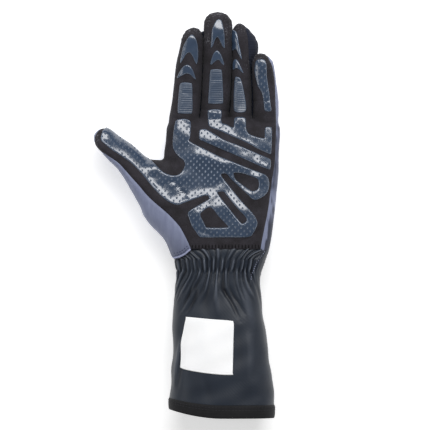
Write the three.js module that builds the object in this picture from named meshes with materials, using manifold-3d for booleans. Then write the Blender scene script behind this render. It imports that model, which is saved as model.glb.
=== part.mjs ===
// A karting glove for the left hand, lying on its back with the palm up.
// Millimetres, +Z up, fingers along +Y, thumb towards -X. The origin is the middle of the underside.
//
// The glove is drawn as its maker draws it, on a pattern grid. A place is [across, up] in squares:
// across from the palm's middle line, up from the wrist seam. The named sizes below say how long
// the squares are on the palm, on each finger, on the thumb and on the cuff.
import * as THREE from 'three';
import { mergeVertices } from 'three/addons/utils/BufferGeometryUtils.js';
import Module from 'manifold-3d';

// Hand sizes
const PALM_WIDTH = 85;
const PALM_LENGTH = 99;
const PALM_THICK = 30;
const INDEX_LENGTH = 72.5;
const MIDDLE_LENGTH = 84.7;
const RING_LENGTH = 75.4;
const LITTLE_LENGTH = 52.6;
const FINGER_THICK = 19.5;
const TIP_LIFT = 4;
const FINGER_GAP = 0.9;
const THUMB_REACH = 58.8;
const THUMB_THICK = 20;

// Wrist and cuff sizes
const WRIST_WIDTH = 65;
const WRIST_THICK = 36;
const CUFF_LENGTH = 130.7;
const CUFF_END_WIDTH = 81.2;
const CUFF_END_THICK = 46;
const GATHER_DEPTH = 0.8;
const END_SKEW = 7;
const HEM_LENGTH = 11.6;
const LABEL_WIDTH = 37;
const LABEL_LENGTH = 41;

// Material sizes
const WALL = 1.6;
const HEM_WALL = 2.8;
const PRINT_THICK = 0.8;
const LABEL_THICK = 0.8;
const SEAM_GAP = 0.3;

// Heights of the side seams: the front is suede above SIDE_SEAM, and the knit strips between
// the fingers lie between STRIP_LOW and STRIP_HIGH. The prints stop at PRINT_FLOOR.
const SIDE_SEAM = 10.8;
const PRINT_FLOOR = 13;
const STRIP_LOW = 5.5;
const STRIP_HIGH = 12.5;
const STRIP_HALF = 3.2;

// Pattern grid: how many squares each named size is drawn across
const GRID = { palmWidth: 110, palmLength: 128, thumbReach: 76 };
const GRID_PALM_EDGE = GRID.palmWidth / 2;

const PALM_SIDES = 26;
const FINGER_SIDES = 12;
const THUMB_SIDES = 14;
const CUFF_SIDES = 36;
const ABOVE_ALL = 90;
const BELOW_ALL = -10;

const wasm = await Module();
wasm.setup();

// Materials
const finish = (color, roughness) => new THREE.MeshStandardMaterial({ color, roughness, metalness: 0 });
const SUEDE = finish(0x302e33, 0.9);
const SILICONE = finish(0x3e4b5d, 0.35);
const WOVEN = finish(0x787e97, 0.75);
const KNIT = finish(0x33353c, 0.85);
const CUFF_CLOTH = finish(0x333740, 0.8);
const HEM_TAPE = finish(0x252528, 0.7);
const LABEL_CLOTH = finish(0xf9fafc, 0.6);

// The four fingers. Rows: [share of the length, left edge, right edge], edges in squares across.
// tip is where the rounded end points, in squares across.
const FINGERS = {
  index: {
    length: INDEX_LENGTH, squares: 94, tip: -30, lift: 1,
    rows: [[-0.16, -49, -28], [0, -55, -25], [0.2, -52.5, -23], [0.4, -50, -22], [0.6, -48, -21.5],
      [0.83, -44, -21]],
  },
  middle: {
    length: MIDDLE_LENGTH, squares: 110, tip: -6, lift: 1,
    rows: [[-0.14, -20, 0], [0, -24.5, 4.5], [0.2, -22.5, 6], [0.4, -21.5, 7], [0.6, -20.8, 7.8],
      [0.87, -20.3, 8]],
  },
  ring: {
    length: RING_LENGTH, squares: 98, tip: 17, lift: 0.7,
    rows: [[-0.16, 9, 24], [0, 5, 28], [0.2, 6.4, 28.4], [0.4, 7.5, 28.6], [0.58, 8.2, 28.4],
      [0.74, 8.5, 33.5], [0.84, 8.5, 32.2]],
  },
  little: {
    length: LITTLE_LENGTH, squares: 68, tip: 37, lift: 1,
    rows: [[-0.2, 32, 48], [0, 28.6, 55], [0.3, 29, 54.6], [0.6, 28.7, 52.4], [0.8, 28.4, 51]],
  },
};

// The palm. Rows: [up, left edge, right edge, share of the wrist in it, height as a share of the
// palm's thickness].
const PALM_ROWS = [
  [0, -55, 50, 0.3, 1.2],
  [18, -53.5, 50, 0.12, 1.16],
  [45, -55.5, 51.5, 0, 1.1],
  [70, -57.5, 54, 0, 1.04],
  [96, -58.5, 55, 0, 0.97],
  [115, -56.5, 55, 0, 0.86],
  [124, -55.5, 54.8, 0, 0.76],
  [128, -54, 54, 0, 0.62],
];

// The thumb, from the heel of the palm out to the tip. Rows: [outer across, outer up,
// inner across, inner up, underside, height], heights as shares of the thumb's thickness.
const THUMB_ROWS = [
  [-51, 3, -9, 21, -0.05, 1.62],
  [-62, 17, -12, 41, -0.05, 1.62],
  [-77, 31, -20, 57, -0.03, 1.6],
  [-88, 43, -34, 69, 0, 1.56],
  [-94, 57, -54, 75, 0.06, 1.5],
  [-101, 72, -72, 83, 0.15, 1.42],
  [-109, 84, -84, 94, 0.23, 1.38],
  [-117.5, 92.5, -96, 104, 0.3, 1.36],
  [-124, 98, -106, 111.7, 0.37, 1.36],
];
const THUMB_TIP_SQUARES = 17.5;

// The cuff. Rows: [share of the cuff's length from the wrist seam, share of the palm's width left
// in it, share of the end's width, height between wrist and end, share of the gathers' depth, whose
// sign turns round below the elastic].
const CUFF_ROWS = [
  [0, 0.7, 0, 0, 0],
  [0.04, 0.48, 0, 0, 0.9],
  [0.077, 0.26, 0, 0, 0.1],
  [0.1, 0.14, 0, 0, 1],
  [0.13, 0.05, 0, 0, -0.1],
  [0.166, 0.02, 0, 0.02, -1],
  [0.237, 0, 0.1, 0.1, -0.4],
  [0.367, 0, 0.28, 0.31, 0],
  [0.615, 0, 0.6, 0.66, 0],
  [0.77, 0, 0.84, 0.85, 0],
  [1, 0, 1, 1, 0],
];
const WRIST_SHIFT = -6;
const CUFF_END_SHIFT = -2.5;

// Long soft folds of the cuff's front. Rows: [from across, from down, to across, to down, depth,
// half width]: down as a share of the cuff's length, the last two as shares of the wrist's width.
const CUFF_FOLDS = [
  [-25, 0.195, -38, 0.39, 0.022, 0.06],
  [-1, 0.154, 10, 0.42, 0.025, 0.07],
  [34, 0.213, 44, 0.568, 0.018, 0.06],
];

const lerp = (a, b, share) => a + (b - a) * share;

// Squares to millimetres. Past the palm's left edge the thumb's squares hold. A finger gives its
// own squares above the palm.
function acrossMm(across) {
  const square = PALM_WIDTH / GRID.palmWidth;
  const past = Math.max(0, -GRID_PALM_EDGE - across);
  return Math.max(across, -GRID_PALM_EDGE) * square - past * THUMB_REACH / GRID.thumbReach;
}

function upMm(up, finger) {
  if (finger && up > GRID.palmLength) {
    return PALM_LENGTH + (up - GRID.palmLength) * finger.length / finger.squares;
  }
  return up * PALM_LENGTH / GRID.palmLength;
}

// One ring of a loft: a rounded section standing across the direction (dx, dy), flat underneath.
// grow makes the whole ring larger or smaller all round. What rests never goes below z = 0.
function ring({ x, y, dx, dy, half, low, high, sides, power = 2.3 }, grow) {
  const middle = (low + high) / 2;
  const tall = Math.max((high - low) / 2 + grow, 0.2);
  const wide = Math.max(half + grow, 0.2);
  const round = (value) => Math.sign(value) * Math.abs(value) ** (2 / power);
  return Array.from({ length: sides }, (_, k) => {
    const angle = (2 * Math.PI * (k + 0.5)) / sides;
    const out = wide * round(Math.cos(angle));
    const z = Math.max(middle + tall * round(Math.sin(angle)), -grow, 0);
    return new THREE.Vector3(x + dx * out, y + dy * out, z);
  });
}

// A closed skin over rings of equal count, with a point in the middle of each end.
function loft(rings) {
  const sides = rings[0].length;
  const points = rings.flat();
  const middles = [rings[0], rings.at(-1)].map((r) =>
    r.reduce((sum, p) => sum.add(p), new THREE.Vector3()).divideScalar(sides));
  const faces = [];
  for (let i = 0; i + 1 < rings.length; i++) {
    for (let k = 0; k < sides; k++) {
      const a = i * sides + k;
      const b = i * sides + ((k + 1) % sides);
      faces.push(a, b, b + sides, a, b + sides, a + sides);
    }
  }
  const first = points.length;
  const lastRing = (rings.length - 1) * sides;
  for (let k = 0; k < sides; k++) {
    const next = (k + 1) % sides;
    faces.push(first, next, k, first + 1, lastRing + k, lastRing + next);
  }
  const all = [...points, ...middles];
  return toSolid(outwards(all, faces), new Uint32Array(faces));
}

// Turns the faces round where they enclose a negative volume.
function outwards(points, faces) {
  let volume = 0;
  for (let i = 0; i < faces.length; i += 3) {
    const [a, b, c] = [points[faces[i]], points[faces[i + 1]], points[faces[i + 2]]];
    volume += a.dot(new THREE.Vector3().crossVectors(b, c));
  }
  if (volume < 0) {
    for (let i = 0; i < faces.length; i += 3) {
      [faces[i + 1], faces[i + 2]] = [faces[i + 2], faces[i + 1]];
    }
  }
  return new Float32Array(points.flatMap((p) => [p.x, p.y, p.z]));
}

function toSolid(vertProperties, triVerts) {
  return new wasm.Manifold(new wasm.Mesh({ numProp: 3, vertProperties, triVerts }));
}

// An upright prism over an outline in millimetres, from low to high.
function prism(outline, low, high) {
  const shape = new THREE.Shape(outline);
  const raw = new THREE.ExtrudeGeometry(shape, { depth: high - low, bevelEnabled: false });
  raw.deleteAttribute('normal');
  raw.deleteAttribute('uv');
  raw.translate(0, 0, low);
  const merged = mergeVertices(raw, 1e-4);
  return toSolid(new Float32Array(merged.attributes.position.array), new Uint32Array(merged.index.array));
}

// An outline of squares in millimetres.
const flat = (squares, finger) => squares.map(([u, v]) => new THREE.Vector2(acrossMm(u), upMm(v, finger)));

// A closed outline drawn smoothly through its points.
function smooth(outline, steps = 2) {
  const curve = new THREE.CatmullRomCurve3(
    outline.map((p) => new THREE.Vector3(p.x, p.y, 0)), true, 'centripetal');
  const count = outline.length * steps;
  return curve.getPoints(count).slice(0, count).map((p) => new THREE.Vector2(p.x, p.y));
}

// Moves each point of a closed outline outwards by a distance.
function widen(outline, distance) {
  const turn = THREE.ShapeUtils.isClockWise(outline) ? 1 : -1;
  return outline.map((p, i) => {
    const before = outline[(i + outline.length - 1) % outline.length];
    const after = outline[(i + 1) % outline.length];
    const a = p.clone().sub(before).normalize();
    const b = after.clone().sub(p).normalize();
    const normal = new THREE.Vector2(-(a.y + b.y), a.x + b.x).normalize();
    const sharp = Math.max(0.4, Math.sqrt((1 + a.dot(b)) / 2));
    return p.clone().addScaledVector(normal, (turn * distance) / sharp);
  });
}

// Body shapes. Each takes grow: 0 is the outside of the cloth, -WALL the inside.
const DOME_ANGLES = [28, 54, 76].map(THREE.MathUtils.degToRad);

function fingerBody(finger, grow) {
  const station = (share, left, right, y, narrow) => {
    const lift = TIP_LIFT * finger.lift * Math.max(0, share) ** 2;
    const tall = FINGER_THICK * lerp(1.12, 0.94, Math.max(0, share));
    const middle = lift + tall / 2 - 0.8;
    return ring({
      x: (acrossMm(left) + acrossMm(right)) / 2, y, dx: 1, dy: 0,
      half: ((acrossMm(right) - acrossMm(left) - FINGER_GAP) / 2 + grow) * narrow - grow,
      low: middle - (tall / 2 + grow) * narrow + grow,
      high: middle + (tall / 2 + grow) * narrow - grow,
      sides: FINGER_SIDES,
    }, grow);
  };
  const along = (share) => PALM_LENGTH + share * finger.length;
  const rings = finger.rows.map(([share, left, right]) => station(share, left, right, along(share), 1));
  const [lastShare, left, right] = finger.rows.at(-1);
  const domeLength = (1 - lastShare) * finger.length;
  for (const angle of DOME_ANGLES) {
    const shift = (finger.tip - (left + right) / 2) * Math.sin(angle);
    const y = along(lastShare) + (domeLength + grow) * Math.sin(angle);
    rings.push(station(lastShare, left + shift, right + shift, y, Math.cos(angle)));
  }
  return loft(rings);
}

function wristEdges(left, right, wristShare) {
  const shift = WRIST_SHIFT * PALM_WIDTH / GRID.palmWidth;
  return [
    lerp(acrossMm(left), shift - WRIST_WIDTH / 2, wristShare),
    lerp(acrossMm(right), shift + WRIST_WIDTH / 2, wristShare),
  ];
}

function palmBody(grow) {
  return loft(PALM_ROWS.map(([up, left, right, wristShare, height], i) => {
    const [from, to] = wristEdges(left, right, wristShare);
    const atWrist = i === 0 ? Math.min(grow, 0) : 0;
    const atFingers = i === PALM_ROWS.length - 1 ? grow : 0;
    const high = i === 0 ? WRIST_THICK : PALM_THICK * height;
    return ring({
      x: (from + to) / 2, y: upMm(up) + atWrist + atFingers, dx: 1, dy: 0,
      half: (to - from) / 2, low: -1, high, sides: PALM_SIDES, power: 2.5,
    }, grow);
  }));
}

function thumbBody(grow) {
  const rows = THUMB_ROWS.map(([outU, outV, inU, inV, low, high]) => {
    const outer = new THREE.Vector2(acrossMm(outU), upMm(outV));
    const inner = new THREE.Vector2(acrossMm(inU), upMm(inV));
    const middle = outer.clone().add(inner).multiplyScalar(0.5);
    const across = inner.clone().sub(outer);
    const half = across.length() / 2;
    across.normalize();
    return {
      x: middle.x, y: middle.y, dx: across.x, dy: across.y, half,
      low: low * THUMB_THICK, high: high * THUMB_THICK, sides: THUMB_SIDES,
    };
  });
  const rings = rows.map((row) => ring(row, grow));
  const last = rows.at(-1);
  const domeLength = (THUMB_TIP_SQUARES * THUMB_REACH) / GRID.thumbReach;
  const middle = (last.low + last.high) / 2;
  const tall = (last.high - last.low) / 2;
  for (const angle of DOME_ANGLES) {
    const reach = (domeLength + grow) * Math.sin(angle);
    const narrow = Math.cos(angle);
    rings.push(ring({
      ...last,
      x: last.x - last.dy * reach,
      y: last.y + last.dx * reach,
      half: (last.half + grow) * narrow - grow,
      low: middle - (tall + grow) * narrow + grow,
      high: middle + (tall + grow) * narrow - grow,
    }, grow));
  }
  return loft(rings);
}

// The whole hand. Its inside runs out through the wrist seam.
function handBody(grow) {
  let body = palmBody(grow).add(thumbBody(grow));
  for (const finger of Object.values(FINGERS)) body = body.add(fingerBody(finger, grow));
  return body;
}

// How deep the cuff's folds are at a place, in mm: the sum of soft grooves along straight lines.
function foldDepth(x, y) {
  return CUFF_FOLDS.reduce((sum, [u0, v0, u1, v1, depth, half]) => {
    const start = new THREE.Vector2(acrossMm(u0), -v0 * CUFF_LENGTH);
    const along = new THREE.Vector2(acrossMm(u1), -v1 * CUFF_LENGTH).sub(start);
    const from = new THREE.Vector2(x, y).sub(start);
    const share = THREE.MathUtils.clamp(from.dot(along) / along.lengthSq(), 0, 1);
    const away = from.distanceTo(along.multiplyScalar(share)) / (half * WRIST_WIDTH);
    return sum + depth * WRIST_WIDTH * Math.exp(-away * away);
  }, 0);
}

// One ring of the cuff, with its gathers, its folds and the skew of its end.
function cuffRing([down, palmShare, endShare, height, gather], grow, lengthen) {
  const shift = acrossMm(lerp(WRIST_SHIFT, CUFF_END_SHIFT, endShare));
  const wide = lerp(WRIST_WIDTH, CUFF_END_WIDTH, endShare);
  const [seamLeft, seamRight] = [acrossMm(-55), acrossMm(50)];
  const left = lerp(shift - wide / 2, seamLeft, palmShare);
  const right = lerp(shift + wide / 2, seamRight, palmShare);
  const centre = (left + right) / 2;
  const points = ring({
    x: centre, y: lengthen - down * CUFF_LENGTH, dx: 1, dy: 0, half: (right - left) / 2,
    low: -1, high: lerp(WRIST_THICK, CUFF_END_THICK, height), sides: CUFF_SIDES, power: 2.4,
  }, grow);
  return points.map((p, k) => {
    const swell = GATHER_DEPTH * gather * (k % 2 ? 1 : -1);
    const out = new THREE.Vector3(p.x - centre, 0, p.z - WRIST_THICK / 2).normalize();
    const towardsLeft = Math.max(0, (centre - p.x) / ((right - left) / 2));
    const front = THREE.MathUtils.smoothstep(p.z, WRIST_THICK * 0.5, WRIST_THICK);
    const dent = foldDepth(p.x, -down * CUFF_LENGTH) * front;
    const moved = p.clone().addScaledVector(out, swell);
    moved.z = Math.max(moved.z - dent, -grow, 0);
    moved.y += END_SKEW * towardsLeft ** 1.8 * down ** 3;
    return moved;
  });
}

// The cuff's body between two distances from the wrist seam, with a row worked out at each end.
// The inside of a wall is lengthened at both ends so that it cuts right through.
function cuffBody(from, to, grow, lengthen = 0) {
  const [first, last] = [from / CUFF_LENGTH, to / CUFF_LENGTH];
  const rowAt = (down) => {
    const next = Math.max(1, CUFF_ROWS.findIndex((row) => row[0] >= down - 1e-9));
    const [above, below] = [CUFF_ROWS[next - 1], CUFF_ROWS[next]];
    const share = (down - above[0]) / (below[0] - above[0]);
    return above.map((value, i) => lerp(value, below[i], share));
  };
  const between = CUFF_ROWS.filter(([down]) => down > first + 0.006 && down < last - 0.006);
  const rings = between.map((row) => cuffRing(row, grow, 0));
  return loft([cuffRing(rowAt(first), grow, lengthen), ...rings, cuffRing(rowAt(last), grow, -lengthen)]);
}

// Pieces
const glove = new THREE.Group();

function add(name, solid, material) {
  const made = solid.getMesh();
  const geometry = new THREE.BufferGeometry();
  geometry.setAttribute('position', new THREE.BufferAttribute(new Float32Array(made.vertProperties), 3));
  geometry.setIndex(new THREE.BufferAttribute(new Uint32Array(made.triVerts), 1));
  geometry.computeVertexNormals();
  const mesh = new THREE.Mesh(geometry, material);
  mesh.name = name;
  glove.add(mesh);
}

// Hand shell, open at the wrist
const shell = handBody(0).subtract(handBody(-WALL));

// Front of the glove in suede: all above the side seam, right of the thumb gusset's seam and left
// of the seam at the little finger's side.
const GUSSET_SEAM = [
  [-130, 109], [-129, 104], [-124, 98.5], [-117, 94], [-111, 90], [-105, 85.5], [-98, 78], [-91, 70],
  [-85, 63.5], [-78, 55], [-71, 48], [-64, 42], [-57, 36], [-50, 29], [-44, 22], [-40, 15], [-36, 7],
  [-33, 0],
];
const OUTER_SEAM = [
  [36.5, 0], [38, 9], [41, 24], [44, 39], [46, 54], [48, 69], [50.5, 84], [51.5, 99], [52, 119],
  [52, 134], [51.5, 149], [51, 164], [50, 174], [47.5, 185], [40, 199],
];
const suedeOutline = flat([
  ...GUSSET_SEAM, [-33, -12], [36.5, -12], ...OUTER_SEAM, [38, 280], [-150, 280], [-150, 109],
]);
const gussetOutline = flat([...GUSSET_SEAM, [-33, -12], [-150, -12], [-150, 109]]);

// Knit strips between the fingers: a band down one finger, through the crotch and up the next.
const CROTCHES = {
  index_middle: [[-25, 123], [-24.8, 128], [-22.8, 150], [-21.8, 175], [-21.2, 200], [-20.8, 230]],
  middle_ring: [[4.8, 123], [4.8, 128], [6.4, 150], [7.3, 175], [8.2, 200], [8.4, 235]],
  ring_little: [[28.5, 123], [28.3, 128], [28.7, 150], [28.8, 175], [28.5, 190], [30.5, 194]],
};
const RING_SIDE = [
  [21, 229], [24, 209], [25, 189], [27, 169], [27.6, 149], [28, 137], [28.8, 137], [28.8, 159],
  [28.5, 187], [31.5, 194.5], [40, 199], [40, 229],
];

function stripSolid(name, grow) {
  const line = flat(CROTCHES[name], FINGERS[name.split('_')[0]]);
  const side = (way) => line.map((p) => new THREE.Vector2(p.x + way * (STRIP_HALF + grow), p.y));
  const ends = [...side(-1), ...side(1).reverse()];
  ends[0].y -= grow;
  ends.at(-1).y -= grow;
  let solid = prism(ends, STRIP_LOW - grow, STRIP_HIGH + grow);
  if (name === 'ring_little') {
    solid = solid.add(prism(widen(flat(RING_SIDE, FINGERS.ring), grow), STRIP_LOW - grow, ABOVE_ALL));
  }
  return solid;
}

let front = shell.intersect(prism(suedeOutline, SIDE_SEAM + SEAM_GAP / 2, ABOVE_ALL));
let back = shell
  .subtract(prism(widen(suedeOutline, SEAM_GAP), SIDE_SEAM - SEAM_GAP / 2, ABOVE_ALL))
  .subtract(prism(widen(gussetOutline, SEAM_GAP), BELOW_ALL, ABOVE_ALL));
const gusset = shell
  .intersect(prism(gussetOutline, BELOW_ALL, ABOVE_ALL))
  .subtract(prism(widen(suedeOutline, SEAM_GAP), SIDE_SEAM - SEAM_GAP, ABOVE_ALL));
const strips = {};
for (const name of Object.keys(CROTCHES)) {
  strips[name] = shell.intersect(stripSolid(name, 0));
  front = front.subtract(stripSolid(name, SEAM_GAP));
  back = back.subtract(stripSolid(name, SEAM_GAP));
}
add('palm_panel', front, SUEDE);
add('back_panel', back, WOVEN);
add('thumb_gusset', gusset, WOVEN);
for (const [name, strip] of Object.entries(strips)) add(`fourchette_${name}`, strip, KNIT);

// Grip prints: a skin of silicone on the suede, cut to its outline
const PRINT_LOW = SEAM_GAP;
const PRINT_HIGH = SEAM_GAP + PRINT_THICK;

function printOn(body, outline, finger = null, holes = []) {
  const areaOf = (squares) => prism(smooth(flat(squares, finger)), PRINT_FLOOR, ABOVE_ALL);
  const area = holes.reduce((left, hole) => left.subtract(areaOf(hole)), areaOf(outline));
  return body(PRINT_HIGH).subtract(body(PRINT_LOW)).intersect(area);
}

// Finger prints in squares: a pointed patch with two legs, a chevron, and a ribbed field.
const FINGER_PRINTS = {
  index: {
    tip: [[-43.5, 186], [-41, 199], [-37, 208], [-33.5, 213.5], [-28.5, 208], [-26.5, 199], [-28, 185],
      [-35, 196]],
    chevron: [[-46, 172], [-42, 180], [-37, 183.5], [-32, 180], [-29, 170.5], [-37, 175]],
    ribs: [[-43, 165.5], [-32, 165.5], [-32, 135.5], [-46, 137]],
  },
  middle: {
    tip: [[-12.5, 201.5], [-12, 211], [-11, 219], [-5, 229.5], [0, 219], [0.5, 211], [0, 201],
      [-6.5, 211]],
    chevron: [[-13, 185], [-11, 193], [-7, 198], [-2, 193], [-0.5, 183.5], [-7, 188]],
    ribs: [[-13, 179], [-3, 179], [-1, 147], [-15.5, 147]],
  },
  ring: {
    tip: [[10, 196], [10, 218], [14, 212], [16.5, 204], [17.5, 190], [12, 199]],
    chevron: [[9.5, 182], [10, 188], [12.5, 190], [17, 184], [19, 177], [13, 180]],
    ribs: [[11, 172], [17, 172], [22, 139], [10, 139]],
  },
};
for (const [name, prints] of Object.entries(FINGER_PRINTS)) {
  const finger = FINGERS[name];
  const body = (grow) => fingerBody(finger, grow);
  add(`grip_tip_${name}`, printOn(body, prints.tip, finger), SILICONE);
  add(`grip_chevron_${name}`, printOn(body, prints.chevron, finger), SILICONE);
  add(`grip_ribs_${name}`, printOn(body, prints.ribs, finger), SILICONE);
}
const LITTLE_STRIP = [
  [31, 189], [42, 187], [44, 174], [45, 159], [46, 138], [40.5, 138], [39.5, 149], [38, 157], [34, 165],
  [31, 185],
];
const littleBody = (grow) => fingerBody(FINGERS.little, grow);
add('grip_little', printOn(littleBody, LITTLE_STRIP, FINGERS.little), SILICONE);

// Palm prints. The main field runs over palm and thumb and has open flex slots.
const skins = { [PRINT_LOW]: handBody(PRINT_LOW), [PRINT_HIGH]: handBody(PRINT_HIGH) };
const handSkin = (grow) => skins[grow];
const MAIN_FIELD = [
  [-48, 126], [-50.5, 114], [-50.5, 104], [-45, 92], [-39.5, 88], [-44, 75], [-58, 75], [-64, 76],
  [-72, 83], [-87, 97], [-106, 112], [-117, 120], [-122, 116], [-118, 104], [-103, 93], [-93, 86],
  [-83, 76], [-74, 65], [-66, 56], [-58, 49], [-46, 44], [-34, 48.5], [-17, 53.5], [-15, 50.5],
  [-35, 39], [-35, 31], [-28, 17], [-21, 11.5], [24, 12], [33, 24], [28, 36], [19, 45],
  [28, 54], [33, 49.5], [44, 61], [44, 71], [40, 74.5], [26, 80], [-4, 92], [-24, 102], [-31, 105.5],
  [-35, 110], [-34, 124], [-36, 129], [-46, 129],
];
const UPPER_LOOP = [[10, 75.5], [29, 72], [34, 66], [32, 59], [21, 62]];
const LOWER_LOOP = [[-13.5, 41.5], [-23, 36], [-18, 23], [3, 21.5], [1, 25]];
const LONG_SLOT = [[-6, 56], [16, 27], [20, 28], [20, 32], [1, 56], [-3, 59]];
const EDGE_SLOT = [[-3, 73], [19, 46], [27, 50], [4, 74], [0, 75.5]];
const SLOTS = [UPPER_LOOP, LOWER_LOOP, LONG_SLOT, EDGE_SLOT];
add('grip_palm', printOn(handSkin, MAIN_FIELD, null, SLOTS), SILICONE);

const BAR = [
  [-25, 111], [-24, 118], [-19.5, 119.5], [-11, 116], [11, 104.5], [36, 94], [46, 90], [46, 79],
  [31, 84.5], [-9, 102], [-24, 109],
];
add('grip_bar', printOn(handSkin, BAR), SILICONE);
const KNUCKLE_FIELD = [
  [-15.5, 127], [-15.5, 125], [-14, 122], [7, 113], [34, 100], [47, 95], [47.5, 109], [48, 120],
  [47.5, 125], [41, 121], [41, 112], [28, 112.5], [22, 118], [21.5, 126], [10.5, 126.5], [7, 122],
  [-2, 126.5],
];
add('grip_knuckle', printOn(handSkin, KNUCKLE_FIELD), SILICONE);

// Gauntlet cuff, open at both ends, with a doubled hem round its end
const THROUGH = 2;
const hemAt = CUFF_LENGTH - HEM_LENGTH;
const cuffTo = hemAt - SEAM_GAP;
const cuff = cuffBody(SEAM_GAP, cuffTo, 0).subtract(cuffBody(SEAM_GAP, cuffTo, -WALL, THROUGH));
add('cuff', cuff, CUFF_CLOTH);
const hemProud = (HEM_WALL - WALL) / 2;
const hem = cuffBody(hemAt, CUFF_LENGTH, hemProud)
  .subtract(cuffBody(hemAt, CUFF_LENGTH, hemProud - HEM_WALL, THROUGH));
add('cuff_hem', hem, HEM_TAPE);

// Label on the cuff's front, a little turned and bowed at its left side. Its outline is in shares
// of its own width and length round its middle.
const LABEL_ACROSS = -17;
const LABEL_DOWN = 0.575;
const LABEL_SHAPE = [
  [-0.42, 0.52], [-0.05, 0.51], [0.49, 0.48], [0.52, 0.42], [0.52, -0.46], [0.48, -0.52],
  [-0.05, -0.49], [-0.51, -0.44], [-0.54, -0.38], [-0.5, 0.05], [-0.46, 0.46],
];
const labelOutline = LABEL_SHAPE.map(([u, v]) =>
  new THREE.Vector2(acrossMm(LABEL_ACROSS) + u * LABEL_WIDTH, v * LABEL_LENGTH - LABEL_DOWN * CUFF_LENGTH));
const labelFrom = LABEL_DOWN * CUFF_LENGTH - LABEL_LENGTH;
const labelSkin = cuffBody(labelFrom, cuffTo, SEAM_GAP + LABEL_THICK)
  .subtract(cuffBody(labelFrom, cuffTo, SEAM_GAP, THROUGH));
add('label_patch', labelSkin.intersect(prism(labelOutline, WRIST_THICK * 0.6, ABOVE_ALL)), LABEL_CLOTH);

// The origin is the middle of the glove's underside
const bounds = new THREE.Box3().setFromObject(glove);
const middle = bounds.getCenter(new THREE.Vector3());
glove.children.forEach((piece) => piece.position.set(-middle.x, -middle.y, -bounds.min.z));

export default glove;
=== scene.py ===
import bpy
import numpy as np
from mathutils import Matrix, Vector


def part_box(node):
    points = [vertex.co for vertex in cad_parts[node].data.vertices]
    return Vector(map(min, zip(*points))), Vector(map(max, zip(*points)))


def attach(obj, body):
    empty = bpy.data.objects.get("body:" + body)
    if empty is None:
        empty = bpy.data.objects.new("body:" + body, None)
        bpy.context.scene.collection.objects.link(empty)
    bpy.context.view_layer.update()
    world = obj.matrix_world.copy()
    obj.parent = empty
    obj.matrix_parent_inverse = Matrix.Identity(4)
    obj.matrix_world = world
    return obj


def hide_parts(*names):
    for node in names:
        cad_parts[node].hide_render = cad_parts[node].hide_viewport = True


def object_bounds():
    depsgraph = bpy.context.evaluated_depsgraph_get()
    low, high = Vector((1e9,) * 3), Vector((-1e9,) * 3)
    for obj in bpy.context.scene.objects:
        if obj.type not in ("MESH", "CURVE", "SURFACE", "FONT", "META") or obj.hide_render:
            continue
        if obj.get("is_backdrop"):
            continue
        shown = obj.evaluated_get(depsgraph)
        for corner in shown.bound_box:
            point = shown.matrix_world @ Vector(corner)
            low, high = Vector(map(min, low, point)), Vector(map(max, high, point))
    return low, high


# The frame
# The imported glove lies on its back, palm up, fingers along +Y, thumb towards -X. Its pattern is
# drawn in squares of 0.7734 mm: across from the palm's middle line, up from the wrist seam.
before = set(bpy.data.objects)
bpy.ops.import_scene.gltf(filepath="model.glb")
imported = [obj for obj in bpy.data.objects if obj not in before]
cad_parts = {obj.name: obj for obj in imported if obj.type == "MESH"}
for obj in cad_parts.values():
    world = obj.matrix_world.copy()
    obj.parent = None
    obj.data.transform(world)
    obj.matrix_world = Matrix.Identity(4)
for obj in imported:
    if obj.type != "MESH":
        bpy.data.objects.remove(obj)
cad_box = [list(corner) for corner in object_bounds()]

SQUARE = 0.7734
MM = 0.001
# Squares up to the fingers' roots, and squares across to the back panel's right edge
PALM_TOP = 128
BACK_RIGHT = 55
palm_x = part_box("back_panel")[1].x / MM - BACK_RIGHT * SQUARE
wrist_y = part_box("palm_panel")[0].y / MM


def place(squares):
    """Squares [across, up] to millimetres in the frame: each times the square's size, plus the
    palm's middle line or the wrist seam."""
    return np.asarray(squares, float) * SQUARE + [palm_x, wrist_y]


def squares_of(points):
    """Millimetres in the frame back to squares [across, up]: less the palm's middle line and the
    wrist seam, over the square's size."""
    return (points[..., :2] - [palm_x, wrist_y]) / SQUARE


# The hand's filled form
# A worn glove keeps the hand's form: four finger tubes, a palm with its mounts and hollow, and
# the thumb with its root. Every panel and print is cut from this one skin, as cloth on a last.
def follow(at, stops, values):
    """Smooth curve through values at stops: a cubic Hermite between stops, with the slope at each
    stop taken from its neighbours."""
    stops = np.asarray(stops, float)
    values = np.asarray(values, float)
    at = np.clip(at, stops[0], stops[-1])
    k = np.clip(np.searchsorted(stops, at, side="right") - 1, 0, len(stops) - 2)
    span = stops[k + 1] - stops[k]
    t = (at - stops[k]) / span
    slope = np.gradient(values, stops)
    start = (1 + 2 * t) * (1 - t) ** 2 * values[k] + t * (1 - t) ** 2 * span * slope[k]
    return start + t * t * (3 - 2 * t) * values[k + 1] + t * t * (t - 1) * span * slope[k + 1]


def read_rows(at, rows):
    """Values of a table at a place: each of its columns, followed along its first one."""
    rows = np.array(rows)
    return [follow(at, rows[:, 0], column) for column in rows.T[1:]]


def unit(ways):
    """Ways scaled to length one."""
    return ways / np.linalg.norm(ways, axis=-1, keepdims=True)


def blend_min(a, b, width):
    """Smaller of a and b, rounded where they are within width of each other."""
    near = np.maximum(width - np.abs(a - b), 0) / width
    return np.minimum(a, b) - near * near * width / 4


def hump(x, y, across, up, height, reach):
    """Soft swelling round a place: the height times exp(-(distance / reach)^2)."""
    middle_x, middle_y = place([across, up])
    return height * np.exp(-((x - middle_x) ** 2 + (y - middle_y) ** 2) / (reach * SQUARE) ** 2)


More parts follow.
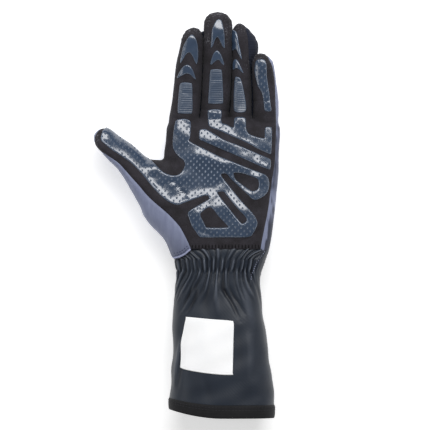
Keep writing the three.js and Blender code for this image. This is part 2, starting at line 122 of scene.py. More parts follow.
def rounded(across, height, beyond, size, power=2.3, dome=2.2):
    """Distance-like value of a tube with a domed end: the superellipse radius of across and height,
    joined with the way beyond the last station, less one, times the tube's size."""
    ring = (np.abs(across) ** power + np.abs(height) ** power) ** (dome / power)
    return ((ring + np.maximum(beyond, 0) ** dome) ** (1 / dome) - 1) * size


# Finger tubes: thickness in mm and how it grows and shrinks along them, and in mm how deep their
# middle lies and the gap beside them
FINGER_THICK = 19.5
ROOT_THICKER = 1.12
TIP_THINNER = 0.18
FINGER_SUNK = 0.8
FINGER_GAP = 0.2
FINGERS = {
    # squares long, where the tip points, lift of the tip and base height in mm, roundness of the
    # tip, and rows of share of the length, left edge, right edge
    "index": (93.5, -30, 4, 0, 2.2, [
        [-0.16, -54.5, -25], [0, -55, -25], [0.2, -52.5, -23], [0.4, -50, -22], [0.6, -48, -21.3],
        [0.83, -43.5, -20.9],
    ]),
    "middle": (109, -6, 4, 1.5, 2.2, [
        [-0.14, -24.5, 4], [0, -24.5, 4.5], [0.2, -22.5, 6.4], [0.4, -21.3, 7.3], [0.6, -20.7, 8],
        [0.87, -20.3, 8.3],
    ]),
    "ring": (97.5, 15.5, 2.5, 0, 1.75, [
        [-0.16, 5, 28], [0, 5, 28], [0.2, 6.4, 28.4], [0.4, 7.3, 28.4], [0.58, 7.6, 28.2],
        [0.72, 8, 34.4], [0.8, 8, 34],
    ]),
    "little": (67.5, 37, 4, 0.8, 2.2, [
        [-0.2, 29, 54], [0, 28.6, 55], [0.2, 29, 55], [0.4, 29, 54.2], [0.6, 28.2, 52.4],
        [0.8, 27.6, 50.6],
    ]),
}
# Palm: up, left edge, right edge, height in mm. Its dome towards the fingers starts at
# PALM_DOME_FROM squares up and is PALM_DOME squares long.
PALM_DOME_FROM = 119
PALM_DOME = 11
PALM_ROWS = [
    [-12, -49, 42, 35.2], [0, -52.9, 45.2, 35.4], [18, -53.3, 48.6, 34.4], [45, -55.5, 51.5, 32],
    [70, -58, 54, 30.6], [96, -59.3, 55.2, 28.8], [115, -57, 55.3, 25.8], [122, -56, 55, 24],
]
# Thumb: centre across, centre up, half width in squares, underside and height in mm
THUMB_ROWS = [
    [-30, 10, 22.5, -1, 33], [-38, 28, 28, -1, 33], [-49, 44, 31.5, -0.6, 32.5],
    [-61, 56, 29.5, 0, 31.5], [-74, 66.5, 21.6, 1, 30], [-86.3, 77.8, 15.6, 3, 28.5],
    [-96.5, 89, 13.3, 4.6, 27.6], [-107, 98.3, 12.2, 6, 27.2], [-115, 104.8, 11.3, 7.4, 27.2],
]
# Its domes beyond the rows, at the tip in squares and at the root in mm, how much lower it is on
# the fingers' side in mm, and how many stations its middle line has
THUMB_DOME = 17.5
THUMB_ROOT_DOME = 14
THUMB_SKEW = 4.6
THUMB_STATIONS = 240
# Lines where neighbouring fingers touch, with a knit strip between them
CROTCHES = {
    "index_middle": [[-25, 122], [-24.8, 128], [-22.8, 150], [-21.6, 175], [-21, 200], [-20.4, 221]],
    "middle_ring": [[4.8, 122], [4.8, 128], [6.4, 150], [7.3, 175], [7.8, 200], [8.1, 216]],
    "ring_little": [[28.5, 122], [28.3, 128], [28.7, 150], [28.5, 175], [28.2, 186]],
}
# The strip's form between the fingers, in mm: half width, middle height and half height
STRIP_BRIDGE = 1.2
STRIP_MIDDLE = 9.2
STRIP_HALF_HIGH = 2.2
# Squares by which a finger runs on in a dome into the palm
ROOT_DOME = 12


def finger_field(x, y, z, finger):
    """Tube along Y between the finger's edges, lifted by tip lift times share squared, with a domed
    tip that leans towards the tip's place."""
    squares, tip, lift, base, dome, rows = FINGERS[finger]
    share = ((y - wrist_y) / SQUARE - PALM_TOP) / squares
    left, right = read_rows(share, rows)
    last, last_left, last_right = rows[-1]
    beyond = (share - last) / (1 - last)
    lean = (tip - (last_left + last_right) / 2) * np.clip(beyond, 0, 1)
    beyond = np.maximum(beyond, (rows[0][0] - share) * squares / ROOT_DOME)
    half = (right - left) / 2 * SQUARE - FINGER_GAP
    middle = palm_x + ((left + right) / 2 + lean) * SQUARE
    grown = np.clip(share, 0, 1)
    tall = FINGER_THICK / 2 * (ROOT_THICKER - TIP_THINNER * grown)
    height = tall - FINGER_SUNK + lift * grown**2 + base * np.clip(share * 3, 0, 1)
    return rounded((x - middle) / half, (z - height) / tall, beyond, np.minimum(half, tall), 2.3, dome)


# Soft swellings of the palm: across, up, height in mm, reach in squares
MOUNTS = [
    [-42, 100, 0.8, 14], [-12, 106, 0.6, 12], [16, 98, 0.8, 12], [42, 96, 1.0, 14], [30, 34, 1.8, 24],
    [-34, 32, 2.0, 24], [-50, 82, 0.8, 9], [-12, 74, -2.0, 20],
]


def palm_relief(x, y):
    """Mounts and hollow of the palm in mm: the sum of the soft swellings."""
    return sum(hump(x, y, *mount) for mount in MOUNTS)


def palm_field(x, y, z):
    """Broad tube between the palm's edges whose top carries the relief, domed towards the fingers."""
    up = (y - wrist_y) / SQUARE
    left, right, high = read_rows(up, PALM_ROWS)
    half = (right - left) / 2 * SQUARE
    top = high + palm_relief(x, y)
    tall = (top + 1) / 2
    middle = palm_x + (left + right) / 2 * SQUARE
    beyond = (up - PALM_DOME_FROM) / PALM_DOME
    return rounded((x - middle) / half, (z - tall + 1) / tall, beyond, np.minimum(half, tall), 2.5)


def thumb_field(x, y, z):
    """Tube round the thumb's curved middle line: each place takes the nearest station on a dense
    curve through the rows, and its distance sideways from it. Along the thumb it is skewed, lower
    on the side towards the fingers."""
    number = np.arange(len(THUMB_ROWS))
    stations = np.linspace(0, number[-1], THUMB_STATIONS)
    across, up, wide, under, over = read_rows(stations, np.column_stack([number, THUMB_ROWS]))
    centre = place(np.stack([across, up], -1))
    apart = (x[..., None] - centre[:, 0]) ** 2 + (y[..., None] - centre[:, 1]) ** 2
    nearest = apart.argmin(-1)
    heading = unit(np.gradient(centre, axis=0))[nearest]
    offset = np.stack([x - centre[nearest, 0], y - centre[nearest, 1]], -1)
    sideways = offset[..., 0] * heading[..., 1] - offset[..., 1] * heading[..., 0]
    forward = np.where(nearest == THUMB_STATIONS - 1, (offset * heading).sum(-1), 0)
    before = np.where(nearest == 0, -(offset * heading).sum(-1), 0)
    half = wide[nearest] * SQUARE
    skewed = np.clip(nearest / (THUMB_STATIONS / 3) - 0.6, 0, 1)
    skew = THUMB_SKEW * skewed * np.clip(sideways / half, -1.2, 1.2)
    low = under[nearest] - 0.5 * skew
    high = over[nearest] + 0.5 * palm_relief(x, y) - skew
    tall = (high - low) / 2
    beyond = forward / (THUMB_DOME * SQUARE) + np.maximum(before, 0) / THUMB_ROOT_DOME
    return rounded(sideways / half, (z - low - tall) / tall, beyond, np.minimum(half, tall), 2.7)


# The grid that the form is worked out on, in mm: its pitch, its margin, and its ends in metres
PITCH = 0.8
MARGIN = 4
GRID_LOW = (cad_box[0][0], wrist_y * MM - 0.014, -0.002)
GRID_HIGH = (cad_box[1][0], cad_box[1][1], 0.04)
# How far two forms round into each other in mm
THUMB_ROUND = 7.0
FINGER_ROUND = 3.6
BRIDGE_ROUND = 0.4
FLOOR_ROUND = 2.0
axes = [
    np.arange(low / MM - MARGIN, high / MM + MARGIN, PITCH) for low, high in zip(GRID_LOW, GRID_HIGH)
]
grid_x, grid_y, grid_z = np.meshgrid(*axes, indexing="ij", sparse=True)
plan_x, plan_y = np.broadcast_arrays(grid_x[:, :, 0], grid_y[:, :, 0])
thumb = thumb_field(plan_x[..., None], plan_y[..., None], grid_z)
fingers = np.minimum.reduce([finger_field(grid_x, grid_y, grid_z, name) for name in FINGERS])
for line in CROTCHES.values():
    line = place(line)
    beside = np.abs(grid_x - np.interp(grid_y, line[:, 1], line[:, 0])) - STRIP_BRIDGE
    ends = np.maximum(line[0, 1] - grid_y, grid_y - line[-1, 1] + 2)
    bridge = np.maximum(np.maximum(beside, ends), np.abs(grid_z - STRIP_MIDDLE) - STRIP_HALF_HIGH)
    fingers = blend_min(fingers, bridge, BRIDGE_ROUND)
field = blend_min(palm_field(grid_x, grid_y, grid_z), thumb, THUMB_ROUND)
field = blend_min(field, fingers, FINGER_ROUND)
field = -blend_min(-field, grid_z, FLOOR_ROUND)


def surface_nets(values, axes):
    """Closed skin where values cross zero: one point in each grid cell that the skin passes, at the
    mean of its edge crossings, and one four-sided face round each crossed grid edge."""
    shape = np.array(values.shape) - 1
    total = np.zeros((*shape, 3))
    count = np.zeros(shape)
    corner = lambda d: tuple(slice(o, o + n) for o, n in zip(d, shape))
    for axis in range(3):
        for a in (0, 1):
            for b in (0, 1):
                near = np.insert([a, b], axis, 0)
                far = np.insert([a, b], axis, 1)
                v0, v1 = values[corner(near)], values[corner(far)]
                crossed = (v0 < 0) != (v1 < 0)
                t = np.where(crossed, v0 / np.where(crossed, v0 - v1, 1), 0)
                for k in range(3):
                    total[..., k] += crossed * (near[k] + (t if k == axis else 0))
                count += crossed
    used = count > 0
    index = np.full(shape, -1)
    index[used] = np.arange(used.sum())
    cell = np.argwhere(used)
    points = cell + total[used] / count[used][:, None]
    faces = []
    for axis in range(3):
        first, second = [k for k in range(3) if k != axis]
        inner = [slice(1, n) for n in shape]
        inner[axis] = slice(0, shape[axis])
        inside = values[tuple(inner)] < 0
        ahead = list(inner)
        ahead[axis] = slice(1, shape[axis] + 1)
        outside_next = values[tuple(ahead)] < 0
        hit = np.argwhere(inside != outside_next)
        hit += np.array([0 if k == axis else 1 for k in range(3)])
        step = np.zeros((4, 3), int)
        step[[0, 3], first] = -1
        step[[0, 1], second] = -1
        quad = np.stack([index[tuple((hit + s).T)] for s in step], 1)
        turn = inside[tuple((hit - [0 if k == axis else 1 for k in range(3)]).T)] != (axis == 1)
        faces.append(np.where(turn[:, None], quad, quad[:, ::-1]))
    faces = np.concatenate(faces)
    spots = np.stack([axes[k][0] + points[:, k] * (axes[k][1] - axes[k][0]) for k in range(3)], 1)
    return spots, np.concatenate([faces[:, [0, 1, 2]], faces[:, [0, 2, 3]]])


def sample(values, points):
    """Value of the grid at any point, by straight-line blending between its eight neighbours."""
    spot = (points - [a[0] for a in axes]) / PITCH
    low = np.clip(spot.astype(int), 0, np.array(values.shape) - 2)
    t = spot - low
    out = 0
    for dx in (0, 1):
        for dy in (0, 1):
            for dz in (0, 1):
                weight = np.prod(np.where([dx, dy, dz], t, 1 - t), 1)
                out = out + weight * values[low[:, 0] + dx, low[:, 1] + dy, low[:, 2] + dz]
    return out


def face_normals(points, faces):
    """Normal at each point: the area-weighted mean of the faces round it."""
    edges = points[faces]
    across = np.cross(edges[:, 1] - edges[:, 0], edges[:, 2] - edges[:, 0])
    normal = np.stack([
        np.bincount(faces.ravel(), np.repeat(across[:, k], 3), len(points)) for k in range(3)
    ], 1)
    return normal / np.maximum(np.linalg.norm(normal, axis=1, keepdims=True), 1e-12)


def relax(points, faces, rounds):
    """Smooths a skin without shrinking it: each round moves every point half-way to the mean of its
    neighbours, and then a little further back."""
    sides = np.concatenate([faces[:, [0, 1]], faces[:, [1, 2]], faces[:, [2, 0]]])
    edges = np.unique(np.sort(sides, 1), axis=0)
    ends = np.concatenate([edges, edges[:, ::-1]])
    count = np.bincount(ends[:, 0], minlength=len(points))[:, None]
    for share in [0.5, -0.53] * rounds:
        mean = np.stack([np.bincount(ends[:, 0], points[ends[:, 1], k], len(points)) for k in range(3)], 1)
        points = points + share * (mean / count - points)
    return points


SMOOTHING_ROUNDS = 14
FITTING_ROUNDS = 3
slopes = np.gradient(field, PITCH)
skin, skin_faces = surface_nets(field, axes)
# Each point steps along the field's slope onto its zero
for _ in range(FITTING_ROUNDS):
    slope = np.stack([sample(s, skin) for s in slopes], 1)
    step = sample(field, skin)[:, None] * slope / np.maximum((slope**2).sum(1, keepdims=True), 1e-3)
    skin = skin - np.clip(step, -PITCH / 2, PITCH / 2)
skin = relax(skin, skin_faces, SMOOTHING_ROUNDS)
skin[:, 2] = np.maximum(skin[:, 2], 0)
skin_normal = face_normals(skin, skin_faces)


# Seams, folds and puckers of the sewn shell
# Panels are sewn with narrow seams that sit in a shallow valley. Cloth bunches where a finger
# bends and puckers round the fingertips, where the front is eased over the tip.
def smooth_loop(squares, steps=5, closed=True):
    """Curve in millimetres through the given squares: a Catmull-Rom spline with even steps."""
    knots = place(squares)
    if closed:
        before, after, later = np.roll(knots, 1, 0), np.roll(knots, -1, 0), np.roll(knots, -2, 0)
    else:
        before = np.vstack([knots[:1], knots[:-2]])
        after = knots[1:]
        later = np.vstack([knots[2:], knots[-1:]])
        knots = knots[:-1]
    t = np.linspace(0, 1, steps, endpoint=False)[None, :, None]
    p0, p1, p2, p3 = [p[:, None] for p in (before, knots, after, later)]
    curve = 0.5 * (2 * p1 + (p2 - p0) * t + (2 * p0 - 5 * p1 + 4 * p2 - p3) * t**2
                   + (3 * p1 - p0 - 3 * p2 + p3) * t**3)
    return curve.reshape(-1, 2)


def along_line(points, line, closed=False):
    """Distance in the plan from each point to a run of straight pieces, and the share of the run
    that lies before its nearest place."""
    start = line if closed else line[:-1]
    way = (np.roll(line, -1, 0) if closed else line[1:]) - start
    length = np.maximum((way**2).sum(1), 1e-9)
    best = np.full(len(points), np.inf)
    share = np.zeros(len(points))
    for number, (origin, step, size) in enumerate(zip(start, way, length)):
        off = points[:, :2] - origin
        part = np.clip(off @ step / size, 0, 1)
        gap = ((off - part[:, None] * step) ** 2).sum(1)
        share = np.where(gap < best, (number + part) / len(start), share)
        best = np.minimum(best, gap)
    return np.sqrt(best), share


def inside_loop(points, loop):
    """Signed distance in the plan to a closed loop, positive inside: the sign is how many of the
    loop's edges a ray along +X crosses, odd or even."""
    x, y = points[:, 0], points[:, 1]
    odd = np.zeros(len(points), bool)
    for (x0, y0), (x1, y1) in zip(loop, np.roll(loop, -1, 0)):
        if y0 != y1:
            odd ^= ((y0 > y) != (y1 > y)) & (x < (x1 - x0) * (y - y0) / (y1 - y0) + x0)
    return np.where(odd, 1, -1) * along_line(points, loop, True)[0]


# Seams, as squares [across, up]: gusset to front, front to back at the little finger's side, and
# the ring finger's side
GUSSET_SEAM = [
    [-132, 112], [-130, 109], [-129, 104], [-124, 98.5], [-117, 94], [-111, 90], [-105, 85.5], [-98, 78],
    [-91, 70], [-85, 63.5], [-78, 55], [-71, 48], [-64, 42], [-57, 36], [-50, 29], [-44, 22], [-40, 15],
    [-36, 7], [-33, 0],
]
OUTER_SEAM = [
    [36.5, 0], [38, 9], [41, 24], [44, 39], [46, 54], [48, 69], [50.5, 84], [51.5, 99], [52, 119],
    [52, 134], [51.5, 149], [51, 164], [50, 174], [47.5, 185], [40, 199],
]
RING_SEAM = [[21, 229], [22, 219], [24, 209], [25, 189], [27, 169], [27.8, 149], [28, 135]]
gusset_line = smooth_loop(GUSSET_SEAM, closed=False)
outer_line = smooth_loop(OUTER_SEAM, closed=False)
ring_line = smooth_loop(RING_SEAM, closed=False)


def wave_noise(points, size, seed, parts=14):
    """Smooth unevenness between about -1 and 1: a sum of plane waves in seeded directions, each
    about size millimetres long."""
    draw = np.random.default_rng(seed)
    ways = unit(draw.normal(size=(parts, 3)))
    ways *= 2 * np.pi / (size * draw.uniform(0.7, 1.5, (parts, 1)))
    phases = draw.uniform(0, 2 * np.pi, parts)
    return np.sin(points @ ways.T + phases).sum(1) / np.sqrt(parts)


# Pleats round a fingertip: how many in a full turn, and their height in mm
PUCKER_COUNT = 16
PUCKER_HEIGHT = 0.2


def fingertip_pucker(points):
    """Small radial pleats in mm round each fingertip's upper edge: a wave round the tip's middle
    that wanders a little, strongest at 0.86 of the dome, where the skin turns down."""
    lift = np.zeros(len(points))
    for squares, tip, _, _, _, rows in FINGERS.values():
        centre = place([tip, PALM_TOP + squares * rows[-1][0]])
        away = points[:, :2] - centre
        angle = np.arctan2(away[:, 1], away[:, 0])
        radius = np.hypot(*away.T)
        dome = squares * (1 - rows[-1][0]) * SQUARE
        band = np.exp(-((radius - 0.86 * dome) / (0.2 * dome)) ** 2) * np.clip(away[:, 1] / 3, 0, 1)
        lift += PUCKER_HEIGHT * band * np.sin(angle * PUCKER_COUNT + 1.3 * np.sin(angle * 5))
    return lift


FOLDS = [
    # from across, from up, to across, to up, depth in mm, half width in squares
    [-49, 131, -24, 126, 0.5, 1.6], [-48, 158, -23, 155, 0.15, 2.0], [-22, 140, 4, 138, 0.45, 1.6],
    [-21, 171, 7, 170, 0.12, 2.0], [7, 132, 27, 134, 0.45, 1.6], [9, 168, 26, 170, 0.35, 1.5],
    [30, 128, 52, 126, 0.5, 1.7], [30, 148, 52, 150, 0.3, 1.5],
    [-45, 62, -22, 40, 0.45, 2.6], [-30, 20, 10, 8, 0.4, 2.4], [14, 6, 34, 18, 0.35, 2.2],
]
# Places where the front falls off towards the fingers: across, up, reach in squares, fall per mm.
# The silicone there leans into the light. A minus sign levels a place that would lean too much.
FALLS = [
    # root of the index finger, and under the other fingers
    [-46, 124, 5, 0.14], [-42, 109, 10, -0.22], [-38, 128, 5, -0.1], [-8, 125, 8, -0.13],
    [16, 126, 7, -0.35], [16, 120, 11, -0.42], [20, 112, 8, -0.2], [31, 109, 7, -0.15],
    # both ends of the bar
    [-17, 112, 9, 0.1], [8, 102, 9, -0.1], [21, 101, 6, -0.18], [39, 88, 10, 0.5],
    # upper edge of the palm's field, and its end by the little finger
    [-21, 98, 8, 0.34], [-10, 93, 8, 0.44], [1, 89, 8, 0.44], [32, 75, 7, 0.5], [21, 60, 9, 0.45],
    [14, 67, 5, 0.2],
    # far side of the hollow, and the arms below it
    [-31, 51, 8, 0.24], [-20, 54, 8, 0.2], [-8, 57, 9, 0.28], [0, 64, 7, 0.24], [-5, 46, 9, 0.3],
    [8, 51, 9, 0.36], [16, 43, 8, 0.32], [-22, 42, 8, 0.32], [-27, 37, 6, 0.14], [4, 57, 6, 0.16],
    # root, lower edge and tip of the thumb
    [-38, 68, 11, -0.24], [-55, 68, 10, -0.2], [-64, 72, 9, -0.3], [-51, 65, 3.2, 0.3],
    [-69, 77, 8, -0.6], [-66, 66, 5, -0.25], [-41, 80, 5, -0.15], [-72, 63, 5, 0.22],
    [-62, 54, 6, 0.26], [-53, 48, 6, 0.24], [-43, 48, 6, 0.22], [-42, 58, 4, -0.2], [-119, 114, 7, -0.5],
    # fingertips
    [-5, 223, 7, 0.32], [-29, 214, 5, 0.2],
]


def front_falls(points):
    """Height in mm of the falls: for each, minus its fall times the way up from its middle, fading
    out over its reach."""
    x, y = points[:, 0], points[:, 1]
    return -sum((y - place([0, up])[1]) * hump(x, y, across, up, fall, reach)
                for across, up, reach, fall in FALLS)


def fingertip_band(points):
    """Share, 0 to 1, of the eased band round the fingertips and the thumb's tip: it peaks at 0.82 of
    each tip's dome."""
    share = np.zeros(len(points))
    tips = [(tip, PALM_TOP + squares * rows[-1][0], squares * (1 - rows[-1][0]) + 1)
            for squares, tip, _, _, _, rows in FINGERS.values()]
    tips.append((-116, 106, THUMB_DOME - 2))
    for across, up, dome in tips:
        away = squares_of(points) - [across, up]
        radius = np.hypot(*away.T)
        band = np.exp(-((radius - 0.82 * dome) / (0.22 * dome)) ** 2)
        share = np.maximum(share, band * (away[:, 1] > -2))
    return share


# Seam valleys: line, depth and half width in mm
VALLEYS = [(gusset_line, 0.5, 1.3), (outer_line, 0.4, 1.2), (ring_line, 0.5, 1.2)]
# Unevenness of worn cloth: height and size in mm, and seed
UNEVEN = [(0.16, 16, 3), (0.05, 6, 4)]
# Fine ring creases at the thumb's root: middle in squares, depth and reach in mm, radians a mm
CREASE_MIDDLE = [-43, 59]
CREASE_DEPTH = 0.1
CREASE_REACH = 4.2
CREASE_TURN = 3.4
# Height in mm above which a place counts as front, and the height by which the flat back's relief
# has grown in
FRONT_FROM = 9
REST_FADE = 2.5


def shell_relief(points):
    """Height in mm that sewing and wear add: seam valleys, folds, puckers and uneven cloth."""
    on_front = np.clip(points[:, 2] - FRONT_FROM, 0, 2) / 2
    valley = sum(
        depth * np.exp(-(along_line(points, line)[0] / width) ** 2) for line, depth, width in VALLEYS
    )
    folds = 0
    for u0, v0, u1, v1, depth, half in FOLDS:
        line = place([[u0, v0], [(u0 + u1) / 2, (v0 + v1) / 2 - 1.2], [u1, v1]])
        folds = folds + depth * np.exp(-(along_line(points, line)[0] / (half * SQUARE)) ** 2)
    uneven = sum(high * wave_noise(points, size, seed) for high, size, seed in UNEVEN)
    crease_x, crease_y = place(CREASE_MIDDLE)
    away = np.hypot(points[:, 0] - crease_x, (points[:, 1] - crease_y) * 1.4)
    creases = CREASE_DEPTH * np.exp(-(away / CREASE_REACH) ** 2) * np.sin(away * CREASE_TURN)
    resting = np.clip(points[:, 2] / REST_FADE, 0, 1)
    sewn = fingertip_pucker(points) + front_falls(points) + creases - valley - folds
    return resting * (uneven + on_front * sewn)


skin = skin + skin_normal * shell_relief(skin)[:, None]
skin_normal = face_normals(skin, skin_faces)


def clip(points, faces, value):
    """Part of a mesh where value is above zero. A triangle that crosses zero is cut along the line
    between the zero points of its edges, and every column of points is blended there."""
    inside = value > 0
    count = inside[faces].sum(1)
    pieces = [faces[count == 3]]
    cuts = []
    for inner in (1, 2):
        some = faces[count == inner]
        odd = inside[some] if inner == 1 else ~inside[some]
        turn = odd.argmax(1)
        cuts.append(np.stack([some[np.arange(len(some)), (turn + k) % 3] for k in range(3)], 1))
    pairs = np.concatenate([c[:, [0, k]] for c in cuts for k in (1, 2)])
    keys, back = np.unique(np.sort(pairs, 1), axis=0, return_inverse=True)
    back = back.ravel() + len(points)
    a, b = keys.T
    t = (value[a] / (value[a] - value[b]))[:, None]
    fresh = points[a] * (1 - t) + points[b] * t
    one, two = len(cuts[0]), len(cuts[1])
    ab1, ac1, ab2, ac2 = np.split(back, [one, 2 * one, 2 * one + two])
    pieces.append(np.stack([cuts[0][:, 0], ab1, ac1], 1))
    pieces.append(np.stack([ab2, cuts[1][:, 1], cuts[1][:, 2]], 1))
    pieces.append(np.stack([ab2, cuts[1][:, 2], ac2], 1))
    kept = np.concatenate(pieces)
    used, kept = np.unique(kept, return_inverse=True)
    return np.vstack([points, fresh])[used], kept.reshape(-1, 3)


def refine(points, faces):
    """Each triangle split in four at the middles of its edges. Points carry their normals, and a
    middle moves most of the way onto the mean of the planes through its edge's two ends."""
    pairs = np.concatenate([faces[:, [0, 1]], faces[:, [1, 2]], faces[:, [2, 0]]])
    keys, back = np.unique(np.sort(pairs, 1), axis=0, return_inverse=True)
    ab, bc, ca = np.split(back.ravel() + len(points), 3)
    a, b, c = faces.T
    split = [np.stack(t, 1) for t in ((a, ab, ca), (ab, b, bc), (ca, bc, c), (ab, bc, ca))]
    middle = points[keys].mean(1)
    ends = points[keys]
    way = ((ends[..., :3] - middle[:, None, :3]) * ends[..., 3:6]).sum(-1, keepdims=True)
    middle[:, :3] += 0.75 * (way * ends[..., 3:6]).mean(1)
    middle[:, 3:6] = unit(middle[:, 3:6])
    return np.vstack([points, middle]), np.concatenate(split)


def thicken(points, faces, normal, rise, sink):
    """Closed wall round a sheet: the sheet moved out by rise, the sheet moved in by sink and turned
    round, and a strip of faces along every edge that only one triangle has."""
    edges = np.concatenate([faces[:, [0, 1]], faces[:, [1, 2]], faces[:, [2, 0]]])
    keys, first, count = np.unique(np.sort(edges, 1), axis=0, return_index=True, return_counts=True)
    rim = edges[first[count == 1]]
    n = len(points)
    wall = np.stack([rim[:, 1], rim[:, 0], rim[:, 0] + n, rim[:, 1] + n], 1)
    out = points + normal * np.reshape(rise, (-1, 1))
    back = points - normal * np.reshape(sink, (-1, 1))
    walls = np.concatenate([wall[:, [0, 1, 2]], wall[:, [0, 2, 3]]])
    return np.vstack([out, back]), np.concatenate([faces, faces[:, ::-1] + n, walls])


def make_piece(name, points, faces, material, nodes=(), slot=None, attributes=()):
    """New smooth-shaded mesh object in metres that rides on the root body and stands for nodes."""
    mesh = bpy.data.meshes.new(name)
    mesh.from_pydata((points * MM).tolist(), [], faces.tolist())
    mesh.shade_smooth()
    for label, values in attributes:
        layer = mesh.attributes.new(label, "FLOAT", "POINT")
        layer.data.foreach_set("value", np.asarray(values, np.float32))
    mesh.materials.append(material)
    piece = bpy.data.objects.new(name, mesh)
    bpy.context.scene.collection.objects.link(piece)
    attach(piece, "root")
    if nodes:
        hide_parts(*nodes)
    return piece


def linear(code):
    """sRGB hex colour to linear red, green, blue and alpha."""
    srgb = np.array([int(code[i:i + 2], 16) for i in (1, 3, 5)]) / 255
    light = np.where(srgb <= 0.04045, srgb / 12.92, ((srgb + 0.055) / 1.055) ** 2.4)
    return (*light, 1)


def node(material, kind, links=None, **settings):
    """One shader node with its settings. links gives each input a value or another node's output."""
    made = material.node_tree.nodes.new(kind)
    for key, value in settings.items():
        setattr(made, key, value)
    for key, value in (links or {}).items():
        if isinstance(value, bpy.types.NodeSocket):
            material.node_tree.links.new(value, made.inputs[key])
        else:
            made.inputs[key].default_value = value
    return made


def new_material(name):
    """Empty node material with its output, and the object coordinates that its patterns read."""
    material = bpy.data.materials.new(name)
    material.use_nodes = True
    material.node_tree.nodes.clear()
    output = node(material, "ShaderNodeOutputMaterial")
    place_node = node(material, "ShaderNodeTexCoord").outputs["Object"]
    return material, output, place_node


def finish_material(material, output, bsdf):
    """Connects the shader to the output."""
    material.node_tree.links.new(bsdf.outputs[0], output.inputs["Surface"])
    return material


# Suede front
# Palm, finger fronts and thumb front are one cut of synthetic microfibre suede, 1.2 mm thick,
# with a short brushed nap. It shows cloudy where the nap lies differently, with fine grain.
# In mm: its thickness, how far it stands proud of the skin, and the width of its rolled edge
SUEDE_THICK = 1.1
SUEDE_PROUD = 0.3
SEAM_ROLL = 1.1
# Heights in mm: of the seam between front and back, and of a knit strip's lower and upper edge
SIDE_SEAM = 10.8
STRIP_LOW = 5.5
STRIP_HIGH = 12.5
STRIP_HALF = 3.2
# How far in mm the back runs on under the cuff
BACK_UNDER_CUFF = 1.0
# Where the seam rises and the back shows beside the front: across, up, rise in mm, reach in squares
BACK_SHOWS = [[-59, 80.5, 14, 4], [-127, 117, 9, 12], [-131, 106, 9, 8]]
# The gusset's lower edge, as squares [across, up]
GUSSET_HEM = [[-33.2, 0], [-35, -1.5], [-40, -5.5], [-46, -8], [-51, -8.6]]
side_height = SIDE_SEAM + sum(hump(skin[:, 0], skin[:, 1], *spot) for spot in BACK_SHOWS)
# Closed outlines in the plan: of the front, of the gusset, and of the ring finger's knit side
suede_loop = np.vstack([
    gusset_line, place([[-33, -2], [36.5, -2]]), outer_line, place([[38, 280], [-160, 280], [-160, 112]]),
])
gusset_loop = np.vstack([
    gusset_line, place([*GUSSET_HEM, [-58, -8.6], [-160, -8.6], [-160, 112]]),
])
ring_side = np.vstack([
    ring_line, place([[28.8, 135], [28.8, 159], [28.4, 187], [31.5, 194.5], [40, 199], [44, 229]]),
])


def strip_value(points, name):
    """How far inside a knit strip a point lies: near the line between two fingers and between the
    strip's two heights. The ring finger's strip also takes its side up to the seam."""
    near = STRIP_HALF - along_line(points, place(CROTCHES[name]))[0]
    value = np.minimum(near, np.minimum(points[:, 2] - STRIP_LOW, STRIP_HIGH - points[:, 2]))
    if name == "ring_little":
        value = np.maximum(value, np.minimum(inside_loop(points, ring_side), points[:, 2] - STRIP_LOW))
    return value


# How far inside its piece each skin point lies, in mm: what is above zero is cut out
in_strip = {name: strip_value(skin, name) for name in CROTCHES}
above_wrist = skin[:, 1] - wrist_y
no_strip = -np.max(list(in_strip.values()), 0)
in_front = np.minimum(inside_loop(skin, suede_loop), skin[:, 2] - side_height)
in_suede = np.minimum.reduce([in_front, no_strip, above_wrist])
in_gusset = np.minimum(inside_loop(skin, gusset_loop), -in_front)
in_back = np.minimum.reduce([-in_gusset, no_strip, above_wrist + BACK_UNDER_CUFF, -in_front])


def cut_panel(value):
    """Sheet of the skin where value is above zero: its points, faces, normals and value."""
    columns = np.column_stack([skin, skin_normal, value])
    cut, faces = clip(columns, skin_faces, value)
    return cut[:, :3], faces, cut[:, 3:6], cut[:, 6]


def panel_piece(name, value, thick, proud, material, nodes, slot, attributes=None):
    """Panel of cloth: its face stands proud of the skin and rolls down into the seam over SEAM_ROLL,
    its back lies thick below."""
    points, faces, normal, edge = cut_panel(value)
    roll = np.sqrt(np.clip(edge / SEAM_ROLL, 0, 1))
    wall, wall_faces = thicken(points, faces, normal, proud * roll, thick - proud * roll)
    extra = [(label, np.tile(make(points), 2)) for label, make in (attributes or {}).items()]
    return make_piece(name, wall, wall_faces, material, nodes, slot, extra)


def bands(size, step=np.pi / 10):
    """Scale of a wave texture whose bands repeat every size mm along an axis. In its own units
    they repeat every pi / 10, and diagonal ones every pi / 5."""
    return step * 1000 / size


# Microfibre suede: matt and nearly black, cloudy over 9 mm where the nap lies differently, and pale
# pricks where it is eased over the tips. Nap hairs are finer than the picture can show, so the
# grain is drawn at 0.7 mm. A noise's scale is 1000 over its size in mm.
suede, out, where = new_material("synthetic_suede")
nap = node(suede, "ShaderNodeTexNoise", {"Vector": where, "Scale": 1000 / 9.0, "Detail": 3.0})
grain = node(suede, "ShaderNodeTexNoise", {"Vector": where, "Scale": 1000 / 0.7, "Detail": 4.0})
holes = node(suede, "ShaderNodeTexNoise", {"Vector": where, "Scale": 1000 / 1.3, "Detail": 1.0})
cloud = node(suede, "ShaderNodeMath", {0: nap.outputs["Fac"], 1: grain.outputs["Fac"]}, operation="ADD")
shade = node(suede, "ShaderNodeMapRange", {"Value": cloud.outputs[0], 1: 0.75, 2: 1.3})
brushed = node(suede, "ShaderNodeMix", {0: shade.outputs[0], 6: linear("#211f22"), 7: linear("#333137")},
               data_type="RGBA")
pricks = node(suede, "ShaderNodeMapRange", {"Value": holes.outputs["Fac"], 1: 0.58, 2: 0.68})
eased = node(suede, "ShaderNodeAttribute", attribute_name="eased")
